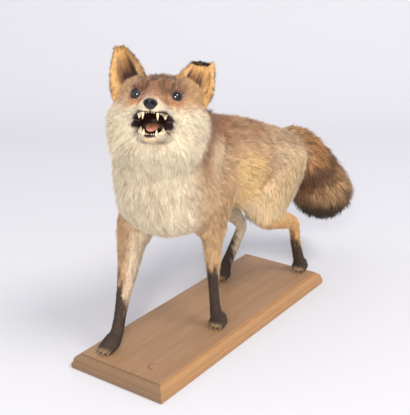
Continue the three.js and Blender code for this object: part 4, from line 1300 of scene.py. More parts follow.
def by_part(skin):
    """Where each piece of the coat grows, as a mask over the skin's triangles."""
    t = skin["triangles"]
    middle = skin["points"][t].mean(axis=1)
    y, z = middle[:, 1], middle[:, 2]
    h = to_head(middle)
    shell = skin["shell"][t[:, 0]]
    dense = skin["dense"][t].mean(axis=1)
    body = shell == 0
    limbs = np.minimum.reduce([limb["chain"](middle) for limb in LIMBS.values()])
    trunk = np.minimum(TRUNK(middle), NECK(middle))
    legs = body & (limbs < trunk) & (z < BORDERS["legs"])
    tail = body & (TAIL(middle) < trunk) & (y > BORDERS["tail"])
    near = norm(middle - HEAD_AT) < HEAD_REACH
    head = body & near & (head_field(middle) < trunk - 1.0)
    face = head & (skin["length"][t].mean(axis=1) < FACE_HAIR)
    rest = body & ~legs & ~tail & ~head
    chest = rest & (y < BORDERS["breast"]) & (z < BORDERS["neck"])
    back = rest & ~chest
    hind = y > BORDERS["loin"]
    parts = {
        "coat_face": face,
        "coat_cheeks": head & ~face,
        "coat_ears": ~body,
        "coat_chest": chest,
        "coat_fore_body": back & ~hind,
        "coat_hind_body": back & hind,
        "coat_tail": tail,
        "coat_forelegs": legs & (y < BORDERS["hindlegs"]),
        "coat_hindlegs": legs & (y >= BORDERS["hindlegs"]),
    }
    closer = np.ones(len(middle))
    closer[face & (h[:, 0] > 0)] = CLOSER["muzzle"]
    closer[legs & (z < CLOSER["feet_below"])] = CLOSER["feet"]
    return {name: mask * dense * closer for name, mask in parts.items()}


# A style gives a tuft's rows of corners, its depth against its width, the shade of its root and
# tip, how its shade, lift and lie vary, and the length at which it has its full width. One tuft
# of every few leads a lock, whose tips clump and whose shades differ by lock.
LONG = {
    "rows": 1, "deep": 0.34, "root_shade": 0.78, "tip": 1.03, "vary": 0.13, "unruly": 6,
    "stray": 0.16, "full": 16.0, "scale": 1.0, "every": 22, "clump": 0.45, "lock": 0.4,
}
SHORT = {
    "rows": 1, "deep": 0.35, "root_shade": 0.8, "tip": 1.03, "vary": 0.14, "unruly": 6,
    "stray": 0.2, "full": 4.0, "scale": 1.0, "every": 12, "clump": 0.35, "lock": 0.34,
}
STYLES = {
    "coat_face": {**SHORT, "count": 36000, "width": 0.85, "vary": 0.2, "lock": 0.45},
    "coat_cheeks": {**LONG, "count": 40000, "width": 0.95, "root_shade": 0.88},
    "coat_ears": {**SHORT, "count": 24000, "width": 0.8, "stray": 0.34, "unruly": 10},
    "coat_chest": {**LONG, "count": 49000, "width": 1.05},
    "coat_fore_body": {**LONG, "count": 49000, "width": 1.05},
    "coat_hind_body": {**LONG, "count": 49000, "width": 1.05},
    "coat_tail": {
        **LONG, "rows": 2, "count": 19500, "width": 1.7, "stray": 0.2, "every": 16, "tip": 0.75,
    },
    "coat_forelegs": {**SHORT, "count": 36000, "width": 0.95, "scale": 1.25, "full": 5.0},
    "coat_hindlegs": {**SHORT, "count": 36000, "width": 0.95, "scale": 1.25, "full": 5.0},
}


# -------- meshes and materials


def placed(name, data):
    """A new object in the scene, at the origin."""
    obj = bpy.data.objects.new(name, data)
    bpy.context.scene.collection.objects.link(obj)
    return obj


def make_object(name, points, triangles, material, colours=None, unwrap=None, values=None,
                smooth=True, normals=None):
    """A mesh object from points in mm, whose colours, unwrap, values and normals are by point."""
    mesh = bpy.data.meshes.new(name)
    count = len(triangles)
    mesh.vertices.add(len(points))
    mesh.vertices.foreach_set("co", (np.asarray(points) * MM).astype(np.float32).ravel())
    mesh.loops.add(count * 3)
    corners = np.ascontiguousarray(triangles).astype(np.int32).ravel()
    mesh.loops.foreach_set("vertex_index", corners)
    mesh.polygons.add(count)
    mesh.polygons.foreach_set("loop_start", np.arange(0, count * 3, 3, dtype=np.int32))
    mesh.polygons.foreach_set("use_smooth", np.full(count, smooth))
    mesh.update(calc_edges=True)
    if mesh.validate():
        raise RuntimeError(f"{name} has broken faces")
    if colours is not None:
        layer = mesh.color_attributes.new("Markings", "FLOAT_COLOR", "POINT")
        rgba = np.concatenate([colours, np.ones((len(colours), 1))], axis=1)
        layer.data.foreach_set("color", rgba.astype(np.float32).ravel())
    for key, value in (values or {}).items():
        layer = mesh.attributes.new(key, "FLOAT", "POINT")
        layer.data.foreach_set("value", np.asarray(value, np.float32))
    if unwrap is not None:
        layer = mesh.uv_layers.new(name="OFBake")
        layer.data.foreach_set("uv", np.asarray(unwrap[corners], np.float32).ravel())
    if normals is not None:
        mesh.normals_split_custom_set_from_vertices(normals)
    mesh.materials.append(material)
    return placed(name, mesh)


def mount(obj, slot, *nodes):
    """Attaches a finished piece under the root and hides the nodes it stands for. The slot is not used.
    """
    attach(obj, "root")
    if nodes:
        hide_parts(*nodes)


def add_node(nodes, kind, **values):
    """A shader node with values on its named inputs."""
    node = nodes.new("ShaderNode" + kind)
    for key, value in values.items():
        node.inputs[key.replace("_", " ")].default_value = value
    return node


def wire(tree, *runs):
    """Links the nodes of a tree. A run is a node, its output, the next node and its input."""
    for source, out, node, into in runs:
        tree.links.new(source.outputs[out], node.inputs[into])


def surface_grain():
    """A group with a mask and a height of fine soft mottling, for hair, hide, horn and leather."""
    group = bpy.data.node_groups.get("Surface grain")
    if group:
        return group
    group = bpy.data.node_groups.new("Surface grain", "ShaderNodeTree")
    face, nodes = group.interface, group.nodes
    face.new_socket("Place", in_out="INPUT", socket_type="NodeSocketVector")
    face.new_socket("Fineness", in_out="INPUT", socket_type="NodeSocketFloat").default_value = 400.0
    for label in ("Mask", "Height"):
        face.new_socket(label, in_out="OUTPUT", socket_type="NodeSocketFloat")
    start, end = nodes.new("NodeGroupInput"), nodes.new("NodeGroupOutput")
    coarse, fine = add_node(nodes, "TexNoise", Detail=4.0), add_node(nodes, "TexNoise", Detail=2.0)
    triple = add_node(nodes, "Math")
    triple.operation = "MULTIPLY"
    triple.inputs[1].default_value = 3.0
    wire(
        group, (start, "Place", coarse, "Vector"), (start, "Place", fine, "Vector"),
        (start, "Fineness", coarse, "Scale"), (start, "Fineness", triple, 0),
        (triple, 0, fine, "Scale"), (coarse, "Fac", end, "Mask"), (fine, "Fac", end, "Height"),
    )
    return group


WHITE = (1.0, 1.0, 1.0)


def times(tint, strength):
    """A tint made lighter or darker, and never brighter than white."""
    return tuple(min(c * strength, 1.0) for c in tint)


class Finish:
    """A material in the making, with its own Principled shader, whose sockets take the values."""

    def __init__(self, name, **values):
        self.material = bpy.data.materials.new(name)
        self.material.use_nodes = True
        self.nodes = self.material.node_tree.nodes
        self.link = self.material.node_tree.links.new
        self.shader = self.nodes["Principled BSDF"]
        for key, value in values.items():
            socket = self.shader.inputs[key.replace("_", " ").title().replace("Ior", "IOR")]
            socket.default_value = (*value, 1.0) if isinstance(value, tuple) else value

    def add(self, kind, **values):
        return add_node(self.nodes, kind, **values)

    def feed(self, source, name):
        self.link(source, self.shader.inputs[name])

    def place(self):
        """Places on the piece itself."""
        return self.add("TexCoord").outputs["Object"]

    def attribute(self, name):
        """The colour and the value of one of the mesh's own attributes."""
        node = self.add("Attribute")
        node.attribute_name = name
        return node.outputs

    def grain(self, fineness):
        """The mask and the height of the surface grain."""
        node = self.add("Group")
        node.node_tree = surface_grain()
        node.inputs["Fineness"].default_value = fineness
        self.link(self.place(), node.inputs["Place"])
        return node.outputs

    def ramp(self, source, stops):
        """Colours for the values of source, whose stops are {value: colour}."""
        node = self.add("ValToRGB")
        elements = node.color_ramp.elements
        while len(elements) > 1:
            elements.remove(elements[-1])
        for k, (place, colour) in enumerate(stops.items()):
            element = elements[0] if k == 0 else elements.new(place)
            element.position = place
            element.color = (*colour, 1.0)
        self.link(source, node.inputs["Fac"])
        return node.outputs["Color"]

    def mix(self, mode, *values):
        """Two colours mixed. values are the factor and both, as numbers, colours or sockets."""
        node = self.add("Mix")
        node.data_type = "RGBA"
        node.blend_type = mode
        for k, value in zip((0, 6, 7), values):
            if hasattr(value, "is_linked"):
                self.link(value, node.inputs[k])
            else:
                node.inputs[k].default_value = (*value, 1.0) if isinstance(value, tuple) else value
        return node.outputs[2]

    def bump(self, height, strength, distance):
        node = self.add("Bump", Strength=strength, Distance=distance)
        self.link(height, node.inputs["Height"])
        self.feed(node.outputs["Normal"], "Normal")

    def mark(self, mask, stops):
        """Colours a coat by its markings, with a finer mottling over them."""
        tone = self.attribute("Markings")["Color"]
        self.feed(self.mix("MULTIPLY", 1.0, tone, self.ramp(mask, stops)), "Base Color")


def hair_material():
    """The coat: its markings, a little finer variation, and a soft sheen."""
    hair = Finish(
        "Coat hair", roughness=0.62, specular_ior_level=0.28, sheen_weight=0.12, sheen_roughness=0.4,
    )
    hair.mark(hair.grain(160.0)["Mask"], {0.35: (0.93, 0.92, 0.91), 0.65: WHITE})
    return hair.material


def hide_material():
    """The skin under the coat, whose colours carry painted shade of the hair over it, glossy where it
    is bare.
    """
    hide = Finish("Hide", roughness=0.8, specular_ior_level=0.3)
    grain = hide.grain(320.0)
    hide.mark(grain["Mask"], {0.3: (0.7, 0.68, 0.66), 0.7: WHITE})
    gloss = hide.add("MapRange", To_Min=0.82, To_Max=0.34)
    hide.link(hide.attribute("Bare")["Fac"], gloss.inputs["Value"])
    hide.feed(gloss.outputs["Result"], "Roughness")
    hide.bump(grain["Height"], 0.5, 0.0006)
    return hide.material


# -------- settings


def colour_property(label, words, *screen):
    return FloatVectorProperty(
        name=label, description=words, default=srgb(*screen), size=3, min=0.0, max=1.0, subtype="COLOR",
    )


def length_property(label, words, value):
    return FloatProperty(name=label, description=words, default=value, unit="LENGTH")


class FoxCoatSettings(bpy.types.PropertyGroup):
    """Colours and lengths of the coat."""

    cream: colour_property("Cream", "Throat, chest, cheeks and inner legs", 247, 223, 190)
    pale: colour_property("Pale tan", "Shoulders and thighs", 238, 205, 163)
    tan: colour_property("Tan", "Sides of the body", 208, 168, 126)
    gold: colour_property("Golden", "Flanks and ears", 252, 204, 138)
    face: colour_property("Face", "Top and sides of the face", 204, 160, 118)
    rust: colour_property("Rust", "Patches under the eyes and on the back", 166, 104, 64)
    brown: colour_property("Brown", "Back and crown", 141, 90, 57)
    # Umber is also painted shade in the fold of the brush. Elsewhere it is the dark of streaks and
    # edges.
    umber: colour_property("Umber", "Folds of the brush", 98, 66, 48)
    grizzle: colour_property("Grizzled", "Most of the brush", 176, 140, 100)
    grey: colour_property("Grey", "Streaks on the chest", 160, 146, 124)
    stocking: colour_property("Stocking", "Lower legs", 72, 56, 46)
    black: colour_property("Black", "Backs of the ears and rim of the brush", 44, 32, 28)
    toe: colour_property("Toes", "Toes", 196, 160, 116)
    # The ear hollow's colour is painted shade of the ear's cup.
    hollow: colour_property("Ear hollow", "Inside of the ears", 53, 29, 18)
    lip: colour_property("Lips", "Lips and eyelids", 38, 28, 26)
    gum: colour_property("Gums", "Front of the mouth", 98, 42, 34)
    # The gullet's colour is dark red flesh with painted shade of the deep mouth.
    throat: colour_property("Gullet", "Back of the mouth", 38, 14, 12)
    body_length: length_property("Body hair", "Length on the back and sides", 0.017)
    chest_length: length_property("Chest hair", "Length on the chest and neck", 0.023)
    tail_length: length_property("Brush hair", "Length on the tail", 0.038)
    seed: IntProperty(name="Seed", description="Where the tufts stand", default=11)


class FoxPartSettings(bpy.types.PropertyGroup):
    """Colours of the bare parts."""

    eye: colour_property("Eye", "Glass of the eyes", 12, 11, 13)
    # The slate ring round the black of each eye is a painted reflection of the pale surroundings.
    reflection_ring: colour_property("Reflection ring", "Ring round the dark of the eyes", 44, 51, 60)
    nose: colour_property("Nose", "Leather of the nose", 22, 23, 27)
    tooth: colour_property("Teeth", "Enamel", 226, 208, 172)
    tongue: colour_property("Tongue", "Tongue", 196, 132, 104)
    claw: colour_property("Claws", "Horn of the claws", 86, 68, 52)
    whisker_length: length_property("Whiskers", "Length of the longest", 0.038)


class FoxBoardSettings(bpy.types.PropertyGroup):
    """Sizes and colours of the board."""

    length: length_property("Length", "Along the fox", 0.560)
    width: length_property("Width", "Across the fox", 0.198)
    height: length_property("Height", "Thickness", 0.027)
    light: colour_property("Light grain", "Early wood", 156, 121, 89)
    dark: colour_property("Dark grain", "Late wood", 146, 112, 81)
    edge: colour_property("Edge", "Moulded long edges", 166, 124, 82)
    # The ends' colour is partly end grain and partly painted shade.
    end: colour_property("End grain", "Sawn ends", 128, 100, 74)


class FoxStageSettings(bpy.types.PropertyGroup):
    """Floor, lights and camera."""

    floor: colour_property("Floor", "Floor and backdrop", 200, 199, 202)
    key: FloatProperty(
        name="Key light", description="Strength of the large soft light", default=9.0, unit="POWER",
    )
    sky: FloatProperty(name="Fill", description="Strength of the light from all round", default=0.94)


# -------- skin and coat

# The skin, kept by its operator for the one that grows the coat.
STORE = {}


def as_dict(settings, names):
    return {name: tuple(getattr(settings, name)) for name in names}


COAT_TONES = (
    "cream", "pale", "tan", "gold", "face", "rust", "brown", "umber", "grizzle", "grey",
    "stocking", "black", "toe", "hollow", "lip", "gum", "throat",
)


def unwrap_skin(obj):
    """Unwraps the skin by its own shape, and gives the places of each triangle's corners."""
    bpy.ops.object.select_all(action="DESELECT")
    obj.select_set(True)
    bpy.context.view_layer.objects.active = obj
    obj.data.uv_layers.new(name="OFBake")
    bpy.ops.object.mode_set(mode="EDIT")
    bpy.ops.mesh.select_all(action="SELECT")
    bpy.ops.uv.smart_project(angle_limit=math.radians(66), island_margin=0.002)
    bpy.ops.object.mode_set(mode="OBJECT")
    count = len(obj.data.loops)
    places = np.empty(count * 2, np.float32)
    obj.data.uv_layers["OFBake"].data.foreach_get("uv", places)
    obj.select_set(False)
    return places.reshape(-1, 3, 2)


FLESH = (
    "lower_jaw", "head", "neck", "chest", "barrel", "hindquarters", "tail_root", "tail_middle",
    "tail_tip", "right_fore_paw", "right_foreleg", "right_shoulder", "left_fore_paw", "left_foreleg",
    "left_shoulder", "right_hind_paw", "right_shank", "right_thigh", "left_hind_paw", "left_shank",
    "left_thigh", "ear_right", "ear_left",
)


# Where the skin is barer than this it has its own colour, and elsewhere it is darker by shade, which is
# painted shade of the coat over it.
HIDE = {"bare": 0.4, "shade": 0.72}


class FOX_OT_skin(bpy.types.Operator):
    """Lays one skin over the whole fox, ears and mouth"""

    bl_idname = "fox.skin"
    bl_label = "Skin"

    def execute(self, context):
        coat = context.scene.fox_coat
        tones = as_dict(coat, COAT_TONES)
        lengths = {
            part: getattr(coat, part + "_length") / MM for part in ("body", "chest", "tail")
        }
        skin = whole_skin(tones, lengths)
        # Painted shade: the skin is darkened wherever the coat covers it.
        under = np.where(skin["bare"][:, None] > HIDE["bare"], 1.0, HIDE["shade"])
        obj = make_object("body_skin", skin["points"], skin["triangles"], hide_material(),
                          colours=skin["tone"] * under, values={"Bare": skin["bare"]})
        skin["unwrap"] = unwrap_skin(obj)
        STORE["skin"] = skin
        mount(obj, "coat", *FLESH)
        return {"FINISHED"}


class FOX_OT_coat(bpy.types.Operator):
    """Grows the tufts of the coat on the skin"""

    bl_idname = "fox.coat"
    bl_label = "Coat"

    def execute(self, context):
        if "skin" not in STORE:
            raise RuntimeError("the coat needs the skin first")
        skin = STORE["skin"]
        hair = hair_material()
        masks = by_part(skin)
        for k, (name, style) in enumerate(STYLES.items()):
            if masks[name].max() <= 0:
                raise RuntimeError(f"{name} has nowhere to grow")
            tufts = tuft_set(skin, masks[name], style, context.scene.fox_coat.seed + k)
            obj = make_object(name, material=hair, **tufts)
            mount(obj, "coat")
        return {"FINISHED"}


# -------- eyes and nose


def ball_mesh(centre, axis, radius, rings, sides):
    """A ball whose pole looks along axis, and how far each point is from that pole, 0 to 1."""
    axis = unit(np.array(axis, float))
    side = unit(np.cross(axis, np.array([0.0, 0.0, 1.0])))
    up = np.cross(side, axis)
    angle = np.linspace(0, math.pi, rings + 2)[1:-1]
    turn = np.arange(sides) / sides * 2 * math.pi
    a, t = np.repeat(angle, sides), np.tile(turn, rings)
    ring = side * np.cos(t)[:, None] + up * np.sin(t)[:, None]
    shell = axis * np.cos(a)[:, None] + ring * np.sin(a)[:, None]
    points = np.concatenate([shell, axis[None], -axis[None]]) * radius + centre
    i, j = np.meshgrid(np.arange(rings - 1), np.arange(sides), indexing="ij")
    p, q = (i * sides + j).ravel(), (i * sides + (j + 1) % sides).ravel()
    k = np.arange(sides)
    front, back = rings * sides, rings * sides + 1
    last = (rings - 1) * sides
    faces = np.concatenate([
        columns(p, q, q + sides), columns(p, q + sides, p + sides),
        columns(np.full(sides, front), (k + 1) % sides, k),
        columns(np.full(sides, back), last + k, last + (k + 1) % sides),
    ])
    return points, outward(points, faces), np.concatenate([a / math.pi, [0.0, 1.0]])


EYE_RINGS = 22
EYE_SIDES = 36


class FOX_OT_eyes(bpy.types.Operator):
    """Sets the two glass eyes in their lids"""

    bl_idname = "fox.eyes"
    bl_label = "Eyes"

    def execute(self, context):
        parts = context.scene.fox_parts
        glass = Finish("Eye glass", roughness=0.05, specular_ior_level=0.5, ior=1.62)
        black, reflection_ring = tuple(parts.eye), tuple(parts.reflection_ring)
        # Painted reflection: a slate ring near the rim of the glass, between the black centre and the
        # black edge.
        stops = {0.0: black, 0.19: black, 0.22: reflection_ring, 0.26: reflection_ring, 0.29: black}
        glass.feed(glass.ramp(glass.attribute("FromPupil")["Fac"], stops), "Base Color")
        for name, hand in (("right", -1.0), ("left", 1.0)):
            flip = np.array([1.0, hand, 1.0])
            centre = from_head(EYE_AT * flip)
            gaze = (GAZE * flip) @ HEAD_AXES
            points, faces, away = ball_mesh(centre, gaze, EYE_RADIUS, EYE_RINGS, EYE_SIDES)
            along = (points - centre) @ gaze
            points = points + ((1.0 - EYE_DEPTH) * (EYE_RADIUS - along))[:, None] * gaze
            obj = make_object(f"glass_eye_{name}", points, faces, glass.material,
                              values={"FromPupil": away})
            mount(obj, "eye", f"eye_{name}")
        return {"FINISHED"}


NOSE_PAD = Ball(NOSE_AT + np.array([-2.5, 0.0, 1.4]), [9.5, 10.4, 6.6])
NOSE_LIP = Ball(NOSE_AT + np.array([-3.5, 0.0, -3.6]), [7.5, 6.6, 4.2])
NOSTRIL = Ball(NOSE_AT + np.array([6.0, 4.4, 0.6]), [5.5, 2.7, 2.9])
NOSTRIL_SLIT = Ball(NOSE_AT + np.array([3.4, 8.0, -1.8]), [4.0, 3.4, 1.3])


def nostril_shade(h):
    """1 where painted shade darkens the hollows of the nostrils, and 0 on the pad."""
    m = mirrored(h)
    return step(0.9, -0.2, np.minimum(NOSTRIL(m), NOSTRIL_SLIT(m)))


def nose_field(h):
    m = mirrored(h)
    d = join(NOSE_PAD(h), NOSE_LIP(h), 4.0)
    d = carve(d, NOSTRIL(m), 1.4)
    d = carve(d, NOSTRIL_SLIT(m), 1.0)
    groove = np.maximum(np.abs(h[:, 1]) - 0.35, NOSE_AT[0] + 3.2 - h[:, 0])
    return carve(d, np.maximum(groove, h[:, 2] - NOSE_AT[2] - 1.0), 0.9)


class FOX_OT_nose(bpy.types.Operator):
    """Makes the leather of the nose, with its nostrils and groove"""

    bl_idname = "fox.nose"
    bl_label = "Nose"

    def execute(self, context):
        low, high = NOSE_AT - 15.0, NOSE_AT + 13.0
        head, faces = surface_net(nose_field, low, high, 0.8)
        head = settle(nose_field, head, 1, 0.5)
        points = from_head(head)
        tint = tuple(context.scene.fox_parts.nose)
        leather = Finish("Nose leather", roughness=0.42, specular_ior_level=0.5, base_color=tint)
        cells = leather.add("TexVoronoi", Scale=950.0)
        leather.link(leather.place(), cells.inputs["Vector"])
        stops = {0.3: times(tint, 0.55), 0.7: times(tint, 1.5)}
        worn = leather.ramp(leather.grain(300.0)["Mask"], stops)
        # Painted shade: near black laid in the hollows of the nostrils.
        hollow = leather.attribute("Nostril")["Fac"]
        leather.feed(leather.mix("MIX", hollow, worn, srgb(8, 7, 8)), "Base Color")
        leather.bump(cells.outputs["Distance"], 0.7, 0.0004)
        obj = make_object("nose_leather", points, outward(points, faces), leather.material,
                          values={"Nostril": nostril_shade(head)})
        mount(obj, "nose", "nose")
        return {"FINISHED"}


# -------- teeth, claws and whiskers


def taper_tree():
    """A node tree that turns paths with a Thickness on their points into solid tapering rods."""
    tree = bpy.data.node_groups.new("Taper along paths", "GeometryNodeTree")
    face = tree.interface
    face.new_socket("Geometry", in_out="INPUT", socket_type="NodeSocketGeometry")
    face.new_socket("Sides", in_out="INPUT", socket_type="NodeSocketInt").default_value = 8
    face.new_socket("Thickness", in_out="INPUT", socket_type="NodeSocketFloat").default_value = 1.0
    face.new_socket("Finish", in_out="INPUT", socket_type="NodeSocketMaterial")
    face.new_socket("Geometry", in_out="OUTPUT", socket_type="NodeSocketGeometry")
    add = tree.nodes.new
    start, end = add("NodeGroupInput"), add("NodeGroupOutput")
    curve = add("GeometryNodeMeshToCurve")
    circle, rods = add("GeometryNodeCurvePrimitiveCircle"), add("GeometryNodeCurveToMesh")
    real, finish = add("GeometryNodeRealizeInstances"), add("GeometryNodeSetMaterial")
    smooth = add("GeometryNodeSetShadeSmooth")
    size, scaled = add("GeometryNodeInputNamedAttribute"), add("ShaderNodeMath")
    size.data_type = "FLOAT"
    size.inputs["Name"].default_value = "Thickness"
    scaled.operation = "MULTIPLY"
    circle.inputs["Radius"].default_value = 1.0
    rods.inputs["Fill Caps"].default_value = True
    wire(
        tree, (start, "Geometry", curve, "Mesh"), (size, "Attribute", scaled, 0),
        (start, "Thickness", scaled, 1), (scaled, 0, rods, "Scale"),
        (start, "Sides", circle, "Resolution"), (curve, "Curve", rods, "Curve"),
        (circle, "Curve", rods, "Profile Curve"), (rods, "Mesh", smooth, "Geometry"),
        (smooth, "Geometry", real, "Geometry"), (real, "Geometry", finish, "Geometry"),
        (start, "Finish", finish, "Material"), (finish, "Geometry", end, "Geometry"),
    )
    return tree


def tapered_object(name, paths, thickness, sides, material):
    """Solid rods along paths in mm, each with a half thickness for every point."""
    points = np.concatenate(paths)
    edges, start = [], 0
    for path in paths:
        edges += [(start + k, start + k + 1) for k in range(len(path) - 1)]
        start += len(path)
    mesh = bpy.data.meshes.new(name + "_paths")
    mesh.from_pydata((points * MM).tolist(), edges, [])
    layer = mesh.attributes.new("Thickness", "FLOAT", "POINT")
    layer.data.foreach_set("value", (np.concatenate(thickness) * MM).astype(np.float32))
    obj = placed(name, mesh)
    tree = bpy.data.node_groups.get("Taper along paths") or taper_tree()
    modifier = obj.modifiers.new("Taper", "NODES")
    modifier.node_group = tree
    ids = {item.name: item.identifier for item in tree.interface.items_tree if item.in_out == "INPUT"}
    modifier[ids["Sides"]] = sides
    modifier[ids["Thickness"]] = 1.0
    modifier[ids["Finish"]] = material
    graph = bpy.context.evaluated_depsgraph_get()
    made = bpy.data.meshes.new_from_object(obj.evaluated_get(graph))
    obj.modifiers.remove(modifier)
    obj.data = made
    made.name = name
    if not made.materials:
        made.materials.append(material)
    if not len(made.polygons):
        raise RuntimeError(f"{name} came out empty")
    return obj


UPPER_TEETH = (
    # forward, side, gum height, length, radius and number of cusps, in the head
    (62, 1.8, -32, 5.0, 1.7, 1), (61.5, 5.0, -32, 5.5, 1.8, 1), (57, 10.2, -32, 14.0, 2.5, 1),
    (47, 13.4, -31, 5.5, 2.4, 1), (39, 15.8, -30, 7.5, 3.0, 2), (29, 18.6, -31, 9.5, 4.4, 3),
)
LOWER_TEETH = (
    # the same, in the jaw
    (88, 1.8, -4.5, 4.0, 1.5, 1), (87.5, 4.8, -4.5, 4.5, 1.5, 1), (84, 8.8, -4.5, 9.5, 2.4, 1),
    (75, 11.8, -4, 4.0, 2.1, 1), (67, 14.0, -4, 4.5, 2.6, 1), (58, 17.0, -4, 10.0, 4.4, 3),
)
CUSPS = {
    # how far ahead, how tall and how wide each cusp is, against the tooth
    1: ((0.0, 1.0, 1.0),),
    2: ((0.8, 0.9, 0.8), (-2.2, 0.6, 0.6)),
    3: ((0.6, 1.0, 0.85), (4.4, 0.5, 0.5), (-4.0, 0.55, 0.55)),
}
TOOTH = {"steps": 7, "thin": 0.9, "blunt": 1.7, "full": 0.9, "back": 0.8, "splay": 0.7, "bow": 0.06}


def tooth_path(root, tip, radius, curl):
    """A tooth from root to tip, bowed back by curl, full at the gum and blunt at the tip."""
    t = np.linspace(0, 1, TOOTH["steps"])
    path = mix(root, tip, t[:, None])
    path[:, 0] += curl * np.sin(math.pi * t)
    return path, radius * (1.0 - TOOTH["thin"] * t ** TOOTH["blunt"]) ** TOOTH["full"]


def jaw_to_body(j):
    return from_head(from_jaw(j))


def all_teeth():
    """The paths and half thicknesses of every cusp, above and below, left and right."""
    paths, sizes = [], []
    for rows, fall, place in ((UPPER_TEETH, -1.0, from_head), (LOWER_TEETH, 1.0, jaw_to_body)):
        for f, s, u, length, radius, cusps in rows:
            for hand in (-1.0, 1.0):
                for ahead, tall, fat in CUSPS[cusps]:
                    root = np.array([f + ahead, s * hand, u], float)
                    lean = [-TOOTH["back"] - ahead * 0.12, TOOTH["splay"] * hand]
                    tip = root + np.array([*lean, fall * length * tall])
                    path, size = tooth_path(root, tip, radius * fat, TOOTH["bow"] * length)
                    paths.append(place(path))
                    sizes.append(size)
    return paths, sizes


TONGUE = Chain(
    [[34, 0, 3, 11, 5], [56, 0, 4.5, 9.5, 4.5], [74, 0, 4, 7.5, 3.5], [81, 0, 3, 5, 2.6]], ACROSS,
)


def tongue_field(j):
    groove = np.maximum(np.abs(j[:, 1]) - 0.5, 7.0 - j[:, 2])
    return carve(TONGUE(j), groove, 2.0)


# The red, green and blue of stained enamel, against clean enamel.
STAIN = (0.72, 0.58, 0.42)


class FOX_OT_mouth(bpy.types.Operator):
    """Sets the teeth and the tongue in the open mouth"""

    bl_idname = "fox.mouth"
    bl_label = "Teeth and tongue"

    def execute(self, context):
        parts = context.scene.fox_parts
        tooth, tongue = tuple(parts.tooth), tuple(parts.tongue)
        enamel = Finish("Enamel", roughness=0.3, specular_ior_level=0.55, base_color=tooth)
        stain = tuple(np.array(tooth) * np.array(STAIN))
        tint = enamel.ramp(enamel.grain(260.0)["Mask"], {0.3: stain, 0.52: tooth})
        enamel.feed(tint, "Base Color")
        obj = tapered_object("teeth", *all_teeth(), 12, enamel.material)
        mount(obj, "mouth")
        jaw, faces = surface_net(tongue_field, [20, -14, -4], [90, 14, 14], 1.2)
        points = jaw_to_body(settle(tongue_field, jaw, 1, 0.6))
        flesh = Finish("Tongue", roughness=0.45, specular_ior_level=0.4)
        grain = flesh.grain(380.0)
        tint = flesh.ramp(grain["Mask"], {0.3: times(tongue, 0.6), 0.7: tongue})
        flesh.feed(tint, "Base Color")
        flesh.bump(grain["Height"], 0.8, 0.0006)
        obj = make_object("tongue_flesh", points, outward(points, faces), flesh.material)
        mount(obj, "mouth", "tongue")
        return {"FINISHED"}


# A claw starts sunk in its toe, runs ahead and curves down from height start to height end.
CLAW = {
    "length": 15.0, "radius": 2.2, "steps": 7, "start": 7.8, "end": 1.4, "sunk": 3.0, "bend": 1.25,
}


class FOX_OT_claws(bpy.types.Operator):
    """Sets a curved claw in each toe"""

    bl_idname = "fox.claws"
    bl_label = "Claws"

    def execute(self, context):
        paths, sizes = [], []
        t = np.linspace(0, 1, CLAW["steps"])
        for limb in LIMBS.values():
            way, across, places = paw_layout(limb)
            for at, turn in places:
                ahead = way * math.cos(turn) + across * math.sin(turn)
                out = CLAW["length"] * np.sin(t * CLAW["bend"]) / math.sin(CLAW["bend"])
                run = at[None] + ahead * (out - CLAW["sunk"])[:, None]
                z = FLOOR + mix(CLAW["start"], CLAW["end"], t ** 1.6)
                paths.append(np.column_stack([run, z]))
                sizes.append(CLAW["radius"] * (1.0 - 0.86 * t ** 1.5))
        tint = tuple(context.scene.fox_parts.claw)
        horn = Finish("Claw horn", roughness=0.38, specular_ior_level=0.45, base_color=tint)
        shade = horn.ramp(horn.grain(220.0)["Mask"], {0.35: tint, 0.65: times(tint, 2.4)})
        horn.feed(shade, "Base Color")
        obj = tapered_object("claws", paths, sizes, 10, horn.material)
        mount(obj, "nose")
        return {"FINISHED"}


# Rows of whiskers one above another, how many stand in each, and how they droop with length.
WHISKER = {"rows": 3, "each": 5, "steps": 8, "radius": 0.20, "droop": np.array([-0.20, 0, -0.16])}


class FOX_OT_whiskers(bpy.types.Operator):
    """Sets the whiskers in the sides of the muzzle"""

    bl_idname = "fox.whiskers"
    bl_label = "Whiskers"

    def execute(self, context):
        longest = context.scene.fox_parts.whisker_length / MM
        rng = np.random.default_rng(5)
        t = np.linspace(0, 1, WHISKER["steps"])
        paths, sizes = [], []
        for hand in (-1.0, 1.0):
            for row, k in np.ndindex(WHISKER["rows"], WHISKER["each"]):
                height = -31.0 + 3.4 * row + rng.normal(0, 0.4)
                root = np.array([54.0 - 5.0 * k, 10.0 + 1.3 * k, height])
                way = np.array([-0.45 - 0.14 * k, 1.0, -0.42 + 0.24 * row])
                way = unit(way + rng.normal(0, 0.08, 3))
                length = longest * (0.55 + 0.1 * k) * rng.uniform(0.8, 1.1)
                path = root + way * (t * length)[:, None]
                path = path + WHISKER["droop"] * length * (t ** 2)[:, None]
                paths.append(from_head(path * np.array([1.0, hand, 1.0])))
                sizes.append(WHISKER["radius"] * (1.0 - 0.8 * t))
        horn = Finish("Whisker", roughness=0.4, base_color=srgb(40, 32, 28))
        obj = tapered_object("whiskers", paths, sizes, 5, horn.material)
        mount(obj, "coat")
        return {"FINISHED"}


# -------- the board

# The moulding: how far its top stands in, the step under the top, the height of the flat face
# and how many strips the hollow between them has.
BOARD = {"inset": 12.5, "step": 2.4, "face": 10.5, "fillet": 14}


